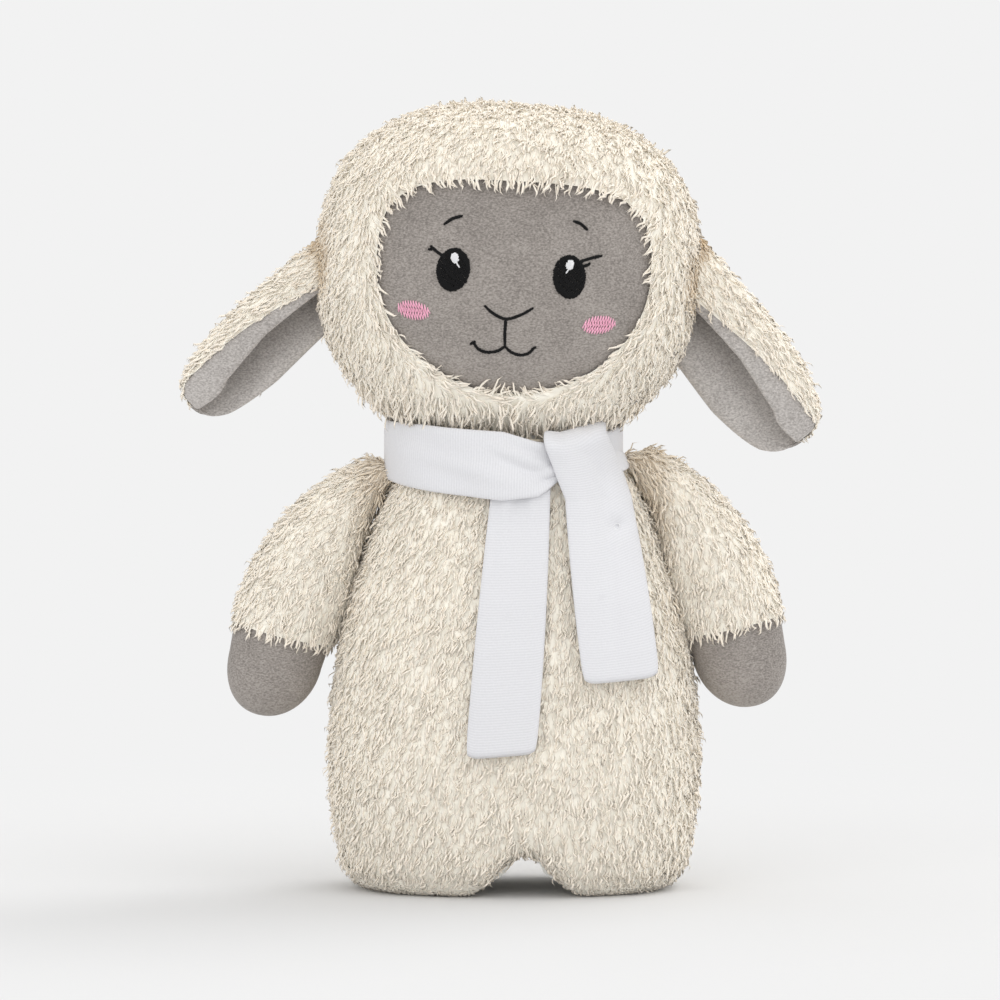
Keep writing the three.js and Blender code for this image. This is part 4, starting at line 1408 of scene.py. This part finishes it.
for seed, (name, ear) in enumerate(ear_sizes.items(), start=20):
    side, length, tall, deep = (ear[key] for key in ("side", "length", "tall", "deep"))
    droop = radians(side * ear["droop"])
    hinge = np.array([side * (head_half_width - ear_hinge_inset), ear_hinge_back, ear["hinge"]])
    drop = ear_root_share * tall
    start, middle, end = np.array(
        [
            [-ear_root_tuck, 0, -drop],
            [length / 2 - ear_root_tuck, 0, ear_sag / 2 - drop],
            [length - ear_root_tuck, 0, -ear_sag / 2 - drop],
        ]
    )
    t = np.linspace(0, 1, 9)[:, None]
    spine = start * (1 - t) ** 2 + 2 * middle * t * (1 - t) + end * t**2
    cap = ear_cap_share * smooth_path(spine, 50)[1]

    def set_on_head(points):
        """Points of an ear's own space, moved to where it is sewn on."""
        return set_in_head(swung(points * np.array([side, 1, 1]), droop, hinge))

    def layer(grow, levels):
        """One layer of the rolled ear, from rows of angles above level."""
        angles = ring_angles(levels, tall + grow, deep + grow)
        size = tall, deep
        rows = pod_rows(spine, size, ear_swell, cap, ear_tip_power, grow, angles, ear_rows)[0]
        rows[..., 2] -= tall * belly[:, None] * np.clip(np.cos(angles), 0, 1)
        return rows

    along_ear = np.linspace(0, 1, ear_rows)
    (top_edge,), (foot_edge,), (band,), (belly,) = (
        shares_at(table, along_ear) for table in (ear_top_edge, ear_foot_edge, ear_band, ear_belly)
    )
    back_levels = np.linspace(foot_edge, top_edge - 360, ear_back_columns, axis=1)
    back_rows = layer(-backing_depth, back_levels)
    tip_way = swung(np.array([[side, 0, -ear_comb_drop]]), droop, no_place)
    tip_way = swung(tip_way, head_tilt, no_place)[0]
    root = set_on_head(np.zeros((1, 3)))[0]

    def ear_comb(places):
        """Along the ear to its tip."""
        return np.tile(tip_way, (len(places), 1))

    def ear_pile(places):
        """Shorter at the root and at the tip."""
        along = (places - root) @ tip_way / length
        from_root = np.clip(ear_root_pile + along * ear_pile_rise, ear_root_pile, ear_most_pile)
        return from_root * np.clip((ear_pile_end - along) * ear_pile_fall, ear_tip_pile, 1)

    def ear_tone(places):
        """Painted shade in the crease at the root."""
        along = (places - root) @ tip_way / length
        return np.clip(along * ear_tone_rise, ear_darkest, ear_palest)

    piece = f"{name}_ear_fleece"
    mesh = mesh_of(piece, *skin(back_rows, set_on_head, False, side < 0))
    nodes = [f"{name}_ear_back"]
    grown(piece, mesh, ear_comb, ear_pile, ear_tone, seed, f"{name}_ear", nodes)

    # The lining is one sheet: up the lower wall, sinking ever deeper, and from behind its upper
    # edge out over the front as a pale band under the fleece.
    inner_edge = np.maximum(top_edge - band, foot_edge + trough_least)
    wall = np.linspace(foot_edge - lining_tuck, inner_edge + trough_hidden, wall_columns, axis=1)
    shares = np.clip((wall - foot_edge[:, None]) / (inner_edge - foot_edge)[:, None], 0, 1)
    over = np.linspace(inner_edge, top_edge + lining_tuck, band_columns, axis=1)
    sheet = layer(-ear_hem, np.concatenate([wall, wall[:, -1:], over[:, :1], over], 1))
    sink = np.zeros(sheet.shape[:2])
    sink[:, :wall_columns] = shares**1.5 * (3 - 2 * shares) ** 0.5
    sink[:, wall_columns : wall_columns + len(band_lip)] = band_lip
    trough = trough_depth * np.abs(sheet[..., 1]).max(1, keepdims=True)
    sheet[..., 1] += np.clip(sink, 0, 1) * (trough - sheet[..., 1])
    mesh = mesh_of(f"{name}_ear_velboa", *skin(sheet, set_on_head, False, side > 0))
    lining = piece_of(f"{name}_ear_velboa", mesh, painted_light_velboa)
    thickened(lining, ear_cloth)
    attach(lining, f"{name}_ear")
    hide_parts(f"{name}_ear_lining")


# Arms: a stuffed fleece sleeve with a mitten of velboa sewn into its end, hanging out and down
# from the shoulder. The sleeve's pile falls over the wrist. The spine has shares of the arm's
# reach and drop, and a press pushes the inner side against the body over a span of the arm.
arm_half_width = 16.6
arm_half_depth = 15
arm_drop = 83.5
arm_root_outset = 6.8
arm_spine = [
    (0, 0),
    (0.275, 0.11),
    (0.5, 0.25),
    (0.65, 0.39),
    (0.76, 0.53),
    (0.84, 0.66),
    (0.91, 0.8),
    (1, 1),
]
arm_swell = [
    (0, 0.34, 0.5),
    (0.1, 0.5, 0.7),
    (0.22, 0.67, 0.87),
    (0.36, 0.84, 0.98),
    (0.5, 0.97, 1),
    (0.62, 1, 0.98),
    (0.72, 0.95, 0.95),
    (0.79, 0.92, 0.93),
    (1, 0.92, 0.93),
]
arm_columns = 64
arm_comb_drop = 0.4
inner_pile, inner_place, inner_reach = 0.5, 12, 8
wrist_pile, wrist_drop, wrist_reach = 0.25, 44, 10
# The arm's tone paints shade on its inner side near the body.
inner_tone, outer_tone, tone_places = 0.45, 0.95, (46, 62)
hand_cap = 20
hand_cap_power = 2.2
hand_depth = 0.6
hand_rows = 44
hand_press = 3
hand_press_span = 0.35, 1
wrist_share = 0.71
wrist_hem = 0.015
wrist_tuck = 0.06
sleeve_rows = 40
sleeve_press = 5.5
sleeve_press_span = 0.1, 0.8
shoulder_rows = 5
shoulder_reach = 9
shoulder_shares = 0.5, 0.95
arms = {"left": (1, 38.6, 145), "right": (-1, 41.6, 142)}

for seed, (name, (side, reach, root_height)) in enumerate(arms.items(), start=30):
    out = shares_at(torso_profile, root_height / torso_height)[0] * torso_half_width
    root = np.array([side * (out + arm_root_outset) + stance_shift, 0, root_height])
    spine = [(a * reach, 0, -b * arm_drop) for a, b in arm_spine]

    def set_on_shoulder(points):
        """Points of an arm's own space, moved to its shoulder."""
        return points * np.array([side, 1, 1]) + root

    def arm_layer(grow, start, stop, rows, press, span):
        """Rings of the arm from one share of its length to another, its inner side pressed in."""
        angles = np.linspace(0, 2 * pi, arm_columns, endpoint=False)
        size = arm_half_width, arm_half_depth
        cap = hand_cap, hand_cap_power
        rings, along = pod_rows(spine, size, arm_swell, *cap, grow, angles, rows, start, stop)
        middle = rings.mean(1, keepdims=True)
        inner = np.clip((middle - rings)[..., 0] / arm_half_width, 0, 1)
        press = press * np.sin(pi * np.linspace(*span, rows))
        rings[..., 0] -= inner * press.reshape(-1, 1)
        return rings, along

    sleeve, along = arm_layer(
        -backing_depth, 0, wrist_share - wrist_hem, sleeve_rows, sleeve_press, sleeve_press_span
    )
    middle = sleeve[0].mean(0)
    shares = np.linspace(*shoulder_shares, shoulder_rows)[:, None, None]
    shoulder = middle + (sleeve[0] - middle) * shares
    shoulder[..., 0] -= shoulder_reach * np.linspace(1, 0.15, shoulder_rows)[:, None]
    sleeve = np.concatenate([shoulder, sleeve])
    along = np.concatenate([np.repeat(along[:1], shoulder_rows, 0), along])
    along = along * np.array([side, 1, 1])
    path = set_on_shoulder(sleeve.mean(1))
    points, faces = skin(sleeve, set_on_shoulder, True, side < 0)

    def arm_comb(places):
        """Along the arm to the hand."""
        nearest = np.argmin(((places[:, None] - path[None]) ** 2).sum(-1), 1)
        return along[nearest] + np.array([0, 0, -arm_comb_drop])

    def arm_pile(places):
        """Longer on the inside, where it meets the body's, and over the wrist."""
        inner = (root[0] * side + inner_place - places[:, 0] * side) / inner_reach
        wrist = (root_height - places[:, 2] - wrist_drop) / wrist_reach
        return 1 + inner_pile * np.clip(inner, 0, 1) + wrist_pile * np.clip(wrist, 0, 1)

    def arm_tone(places):
        """Painted shade on the inside, at the shoulder, where the arm meets the body."""
        outer = ramp(np.abs(places[:, 0] - stance_shift), *tone_places)
        return inner_tone + (outer_tone - inner_tone) * outer

    front = points[faces].mean(1)[:, 1] < 0
    for salt, (half, kept) in enumerate((("front", front), ("back", ~front))):
        piece = f"{name}_sleeve_{half}_fleece"
        mesh = mesh_of(piece, points, faces[kept])
        nodes = [f"{name}_sleeve_{half}"]
        grown(piece, mesh, arm_comb, arm_pile, arm_tone, seed + 5 * salt, f"{name}_arm", nodes)

    hand = arm_layer(
        -hand_depth, wrist_share - wrist_tuck, 1, hand_rows, hand_press, hand_press_span
    )[0]
    mesh = mesh_of(f"{name}_hand_velboa", *skin(hand, set_on_shoulder, True, side < 0))
    mitten = piece_of(f"{name}_hand_velboa", mesh, velboa)
    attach(mitten, f"{name}_arm")
    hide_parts(f"{name}_hand_front", f"{name}_hand_back")


# Scarf: a flat tube of fine white jersey, passed round the neck, with one end folded over the
# front of the loop and the other hanging from beneath it. Its long edges are soft folds. An edge
# row has how far round the neck it is and how low and high the loop's edges lie, in widths.
scarf_half_width = 38
scarf_half_depth = 33
scarf_shift = -3.6
scarf_width = 24
scarf_height = torso_height + 1
scarf_edges = [
    (-0.5, -0.44, 0.38),
    (-0.25, -0.44, 0.38),
    (-0.12, -0.56, 0.36),
    (0, -0.68, 0.28),
    (0.045, -0.63, 0.14),
    (0.08, -0.38, 0.08),
    (0.14, -0.36, 0.2),
    (0.25, -0.28, 0.34),
    (0.5, -0.44, 0.38),
]
scarf_gap = 0.6
pile_room = 1.2
loop_rows = 200
cloth_columns = 33
jersey_thickness = 2.2
jersey_edge_power = 10
jersey_hem_power = 60
on_toy = np.array((stance_shift, 0, 0))
across = -np.cos(np.linspace(0, pi, cloth_columns))
ups = 0.5 + 0.5 * across

# Fine rib jersey: polyester knitted in narrow ribs and brushed. It gives the eye a soft, nearly
# smooth white, with faint lines along the scarf. The rib is as wide as a real one.
jersey_shades = "#DADADD", "#E4E4E7"
jersey_roughness = 0.8
jersey_sheen = 0.15
jersey_rib = 0.9
jersey_rib_depth = 0.12
jersey_rib_share = 0.25
jersey_relief = 0.35
jersey_contrast = 0.15, 0.85
knit_scale = 1.6

jersey, tree, shader = plain_material(
    "fine_rib_jersey", jersey_shades[1], jersey_roughness, jersey_sheen
)
cloth_map = add(tree, "ShaderNodeUVMap", uv_map="cloth")
weave = add(tree, "ShaderNodeSeparateXYZ", {0: cloth_map}).outputs
ribs = 2 * pi / jersey_rib
rib_wave = add(tree, "ShaderNodeMath", {0: weave["Y"], 1: ribs}, operation="MULTIPLY")
rib = add(tree, "ShaderNodeMath", {0: rib_wave}, operation="SINE")
knit = add(
    tree, "ShaderNodeTexNoise", {"Vector": cloth_map, "Scale": knit_scale, "Detail": 2}
)
raised = add(
    tree, "ShaderNodeMath", {0: rib, 1: jersey_rib_share, 2: knit}, operation="MULTIPLY_ADD"
)
low, high = jersey_contrast
light = add(tree, "ShaderNodeMapRange", {"Value": raised, "From Min": low, "From Max": high})
dark, pale = jersey_shades
cloth_colour = add(
    tree, "ShaderNodeMix", {"Factor": light, "A": dark, "B": pale}, data_type="RGBA"
)
tree.links.new(cloth_colour.outputs["Result"], shader["Base Color"])
relief = add(
    tree,
    "ShaderNodeBump",
    {"Height": raised, "Strength": jersey_relief, "Distance": jersey_rib_depth * millimetre},
)
tree.links.new(relief.outputs["Normal"], shader["Normal"])


def torso_size(height):
    """The torso's half width and half depth at a height."""
    shares = shares_at(torso_profile, np.clip(height, 0, torso_height) / torso_height)
    return shares[0] * torso_half_width, shares[1] * torso_half_depth


def torso_front(x, height):
    """How far forward the torso reaches at a place across and up it."""
    width, depth = torso_size(height)
    share = np.clip(np.abs(x) / width, 0, 1)
    return depth * (1 - share**torso_power) ** (1 / torso_power)


def off_torso(points, gap):
    """Points inside the torso pushed straight out from its axis."""
    width, depth = torso_size(points[..., 2])
    x = np.abs(points[..., 0] / (width + gap))
    y = np.abs(points[..., 1] / (depth + gap))
    level = (x**torso_power + y**torso_power) ** (1 / torso_power)
    inside = (level < 1) & (points[..., 2] < torso_height + gap)
    level = np.where(inside, np.maximum(level, 0.2), 1)
    return points / np.stack([level, level, np.ones_like(level)], -1)


def on_loop(around, up, out):
    """A place on the loop by how far round the neck, how far up it and how far out it is."""
    foot, top = shares_at(scarf_edges, around)
    angle = 2 * pi * around
    z = scarf_height + scarf_width * (foot + (top - foot) * up)
    x = scarf_shift + (scarf_half_width + out) * np.sin(angle)
    y = -(scarf_half_depth + out) * np.cos(angle)
    return off_torso(np.stack([x, y, z], -1), out + scarf_gap)


def loop_front(x, up, out):
    """The point of the loop's front that lies at a place across it."""
    along = np.clip((x - scarf_shift) / (scarf_half_width + out), -1, 1)
    return on_loop(np.arcsin(along) / (2 * pi), up, out)


def over_loop(x):
    """How far forward a cloth lies that hangs over the loop."""
    edges = (loop_front(x, up + 0 * x, jersey_thickness)[..., 1] for up in (0, 1))
    return scarf_gap - np.minimum(*edges)


def over_torso(x, z):
    """How far forward a cloth lies that hangs over the torso's pile."""
    return torso_front(x, z) + scarf_gap + pile_room


def ridge(x, z, start, end, width):
    """A soft fold of height one along a line between two places."""
    way = np.subtract(end, start)
    run = np.clip(((x - start[0]) * way[0] + (z - start[1]) * way[1]) / (way @ way), 0, 1)
    apart = np.hypot(x - start[0] - run * way[0], z - start[1] - run * way[1])
    return hump(apart / width) * (0.5 + 0.5 * np.sin(pi * np.clip(run, 0.05, 0.95)))


def run_of(middle, axis):
    """How far along a cloth each of its rows or columns lies."""
    steps = np.linalg.norm(np.diff(middle, axis=axis), axis=-1).mean(1 - axis)
    return np.concatenate([[0], np.cumsum(steps)])


def nearest_of(points, places):
    """For each place, the number of the point that lies there."""
    key = {tuple(p): number for number, p in enumerate(np.round(points, 2))}
    return np.array([key.get(tuple(p), 0) for p in np.round(places, 2)])


def double_cloth(name, middle, joined):
    """A flattened tube of jersey about its middle surface, with a map in millimetres along it."""
    if joined:
        down = (np.roll(middle, -1, 0) - np.roll(middle, 1, 0)) / 2
        closing = np.ones(len(middle))
    else:
        down = np.gradient(middle, axis=0)
        closing = np.sqrt(1 - np.abs(np.linspace(-1, 1, len(middle))) ** jersey_hem_power)
    normal = np.cross(np.gradient(middle, axis=1), down)
    normal /= np.linalg.norm(normal, axis=-1, keepdims=True)
    half = jersey_thickness / 2 * np.sqrt(1 - np.abs(across) ** jersey_edge_power)
    lift = normal * (half[None, :] * closing[:, None])[..., None]
    ring = np.concatenate([middle + lift, (middle - lift)[:, -2:0:-1]], 1)
    points = ring.reshape(-1, 3) + on_toy
    rows, columns = ring.shape[:2]
    faces = quads(rows + joined, columns, True) % (rows * columns)
    mesh = mesh_of(name, points, faces)
    work = bmesh.new()
    work.from_mesh(mesh)
    bmesh.ops.recalc_face_normals(work, faces=work.faces)
    work.to_mesh(mesh)
    work.free()

    side_run = run_of(middle, 1)
    flat_side = np.tile(np.concatenate([side_run, side_run[-2:0:-1]]), rows)
    flat_run = np.repeat(run_of(middle, 0), columns)
    places = np.empty(len(mesh.vertices) * 3)
    mesh.vertices.foreach_get("co", places)
    order = nearest_of(points, places.reshape(-1, 3) / millimetre)
    corners = np.empty(len(mesh.loops), int)
    mesh.loops.foreach_get("vertex_index", corners)
    values = np.stack([flat_side[order], flat_run[order]], -1)[corners]
    mesh.uv_layers.new(name="cloth").data.foreach_set("uv", values.ravel())
    return mesh


# The loop's folds: three ridges towards the turn, with their heights, their ends across and up
# the toy and their widths, fine gathers under the turn, and a slow waviness all round.
loop_ridges = [
    (1.3, (-6, 152.5), (16, 143.5), 1.7),
    (-0.7, (-4, 148), (14, 140), 1.6),
    (0.8, (-36, 151), (4, 140), 2.6),
]
gather_height, gather_count, gather_place, gather_reach = 0.5, 7, 15, 9
wave_height, wave_rate, wave_slant = 0.35, 46, 5
tail_height, tail_place, tail_reach, tail_fade = 2.4, 1, 13, 1.6
loop_lift = 0.4
loop_side = 20

around = np.arange(loop_rows) / loop_rows - 0.5
grid_around, grid_up = np.meshgrid(around, ups, indexing="ij")
loop_middle = on_loop(grid_around, grid_up, jersey_thickness / 2 + 0 * grid_up)
x, z = loop_middle[..., 0], loop_middle[..., 2]
front = np.clip(-loop_middle[..., 1] / loop_side, 0, 1)
folds = sum(height * ridge(x, z, *line) for height, *line in loop_ridges)
gathers = np.sin(gather_count * pi * grid_up) * hump((x - gather_place) / gather_reach)
folds += gather_height * gathers
folds += wave_height * np.sin(grid_around * wave_rate + wave_slant * grid_up)
over_tail = tail_height * np.exp(-(((x - tail_place) / tail_reach) ** 4))
over_tail *= np.clip(1 - grid_up * tail_fade, 0, 1)
outward = loop_middle * np.array([1, 1, 0])
outward /= np.linalg.norm(outward, axis=-1, keepdims=True)
loop_middle += outward * (folds * front + over_tail * front + loop_lift)[..., None]
mesh = double_cloth("scarf_loop_jersey", loop_middle, True)
scarf_loop = piece_of("scarf_loop_jersey", mesh, jersey)
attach(scarf_loop, "torso")
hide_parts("scarf_loop")

hem_slope = 1.6
corner_rise, corner_rise_power = 1.5, 8
corner_draw, corner_draw_power = 0.6, 30
edge_sway = -0.5, 0.7


def tail_grid(top, top_edges, hem, hem_edges, rows, lying, fold):
    """The middle surface of an end that hangs down over the body to a hem with soft corners."""
    v = np.linspace(0, 1, rows)[:, None]
    left, right = (
        a + (b - a) * v + sway * np.sin(pi * v) + corner_draw * side * v**corner_draw_power
        for a, b, sway, side in zip(top_edges, hem_edges, edge_sway, (1, -1))
    )
    x = left + (right - left) * ups[None, :]
    low = hem + hem_slope * (ups - 0.5) + corner_rise * np.abs(across) ** corner_rise_power
    z = top + (low[None, :] - top) * v
    forward = np.maximum(over_torso(x, z), lying(x))
    return np.stack([x, -(forward + jersey_thickness / 2 + fold(ups[None, :], v)), z], -1)


# The long end hangs out from beneath the loop, and nothing but the body lies behind it. A gather
# has its height, its place across the cloth and its width, as shares of the cloth's.
long_top, long_top_edges = 139, (-7.6, 12.2)
long_hem, long_hem_edges = 49, (-16.4, 7.6)
long_rows = 80
long_gathers = [(1.5, 0.28, 0.09), (1.2, 0.72, 0.1)]
gathers_fade = 5.5
roll_height, roll_count, roll_start = 0.7, 0.9, 0.1
long_hem_lift = 0.5


def long_fold(u, v):
    """Gathered where it leaves the loop, and gently rolled lower down."""
    gathers = sum(height * hump((u - at) / width) for height, at, width in long_gathers)
    roll = roll_height * np.sin(2 * pi * (u * roll_count + roll_start)) * np.clip(v * 2, 0, 1)
    return gathers * np.exp(-v * gathers_fade) + roll + long_hem_lift * v


long_middle = tail_grid(
    long_top, long_top_edges, long_hem, long_hem_edges, long_rows, lambda x: 0 * x, long_fold
)
mesh = double_cloth("scarf_long_jersey", long_middle, False)
long_end = piece_of("scarf_long_jersey", mesh, jersey)
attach(long_end, "scarf_long_end")
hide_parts("scarf_long_tail")

# The short end comes up behind the loop, turns over its top edge and hangs down in front. A tack
# draws a dimple into it below the turn.
turn_foot, turn_top = (17, 39.4), (10, 31)
turn_height = scarf_height - 16
turn_rise = 3.4
turn_tuck = 5
turn_lift = 1.2
turn_pleat = 0.8
short_hem, short_hem_edges = 74, (23, 48.8)
hanging_rows = 40
short_rows = 110
turn_shares = 1, 0.66, 0.33
short_lift, short_hem_lift = 1.2, 0.8
valley_depth, valley_width = 1.3, 0.13
valley_place, valley_lean, valley_end = 0.56, 0.1, 1.15
ripple_height, ripple_width, ripple_place, ripple_fade = 0.6, 0.1, 0.2, 4
tack_place = 34.5, 125.4
tack_dimple = 2
dimple_reach = 2.8


def short_fold(u, v):
    """A soft valley down its middle that fades towards the hem."""
    valley = hump((u - valley_place + valley_lean * v) / valley_width)
    valley = -valley_depth * valley * np.clip(valley_end - v, 0, 1)
    ripple = ripple_height * hump((u - ripple_place) / ripple_width) * np.exp(-v * ripple_fade)
    return short_lift + valley + ripple + short_hem_lift * v


hanging = tail_grid(
    turn_height, turn_foot, short_hem, short_hem_edges, hanging_rows, over_loop, short_fold
)
foot_width, top_width = turn_foot[1] - turn_foot[0], turn_top[1] - turn_top[0]
rising = []
for share in turn_shares:
    x = turn_foot[0] + (turn_top[0] - turn_foot[0]) * share
    x = x + ups * (foot_width + (top_width - foot_width) * share)
    crest = loop_front(x, 1 + 0 * x, jersey_thickness / 2)
    z = turn_height + (crest[:, 2] - turn_height) * share
    lying = np.maximum(over_loop(x), over_torso(x, z)) + jersey_thickness / 2
    if share == 1:
        inner = loop_front(x, 1 + 0 * x, 0)
        behind = -inner[:, 1] - scarf_gap - jersey_thickness / 2
        over = (crest[:, 1] - behind) / 2 - lying / 4 + behind / 4
        rising.append(np.stack([x, -behind, crest[:, 2] - turn_tuck], -1))
        rising.append(np.stack([x, -behind, crest[:, 2]], -1))
        rising.append(np.stack([x, over, crest[:, 2] + turn_rise], -1))
    pleat = turn_pleat * np.sin(3 * pi * ups) * share
    rising.append(np.stack([x, -lying - turn_lift - pleat, z], -1))
columns = np.concatenate([np.array(rising), hanging]).transpose(1, 0, 2)
short_middle = np.stack([smooth_path(column, short_rows)[0] for column in columns], 1)
apart = np.hypot(short_middle[..., 0] - tack_place[0], short_middle[..., 2] - tack_place[1])
short_middle[..., 1] += tack_dimple * hump(apart / dimple_reach)
mesh = double_cloth("scarf_short_jersey", short_middle, False)
short_end = piece_of("scarf_short_jersey", mesh, jersey)
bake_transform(short_end)
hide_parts("scarf_turn", "scarf_short_tail")


# Tack: a few stitches of white thread that hold the folded scarf end to the body below its turn.
# They draw the dimple into the jersey and lie in its middle as a small ring.
tack_ring = 1.0
tack_stitch = 0.55
tack_stitches = 12
tack_lift = 0.25


def on_jersey(x, z):
    """How far back the front of the folded end lies at a place across and up it."""
    apart = np.hypot(short_middle[..., 0] - x, short_middle[..., 2] - z).ravel()
    near = np.argsort(apart)[:4]
    weight = 1 / (apart[near] ** 2 + 0.01)
    middle = short_middle[..., 1].ravel()[near]
    return middle @ weight / weight.sum() - jersey_thickness / 2


turns = np.linspace(0, 2 * pi, tack_stitches, endpoint=False)
level, upright = np.cos(turns), np.sin(turns)
round_tack = zip(tack_place[0] + tack_ring * level, tack_place[1] + tack_ring * upright)
places = np.array([(x, on_jersey(x, z) - tack_lift, z) for x, z in round_tack]) + on_toy
halves = np.stack([-upright, 0 * turns, level], -1) * tack_stitch
outs = np.tile((0.0, -1.0, 0.0), (tack_stitches, 1))
tack = sewn_from("scarf_tack_stitching", white_yarn, places, halves, outs)
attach(tack, "scarf_short_end")
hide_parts("scarf_tack")

# The single thread and locks that the stitching and the pile repeat aren't pieces of the toy.
for spare in [thread, *locks.objects]:
    bpy.data.objects.remove(spare)
bpy.data.collections.remove(locks)
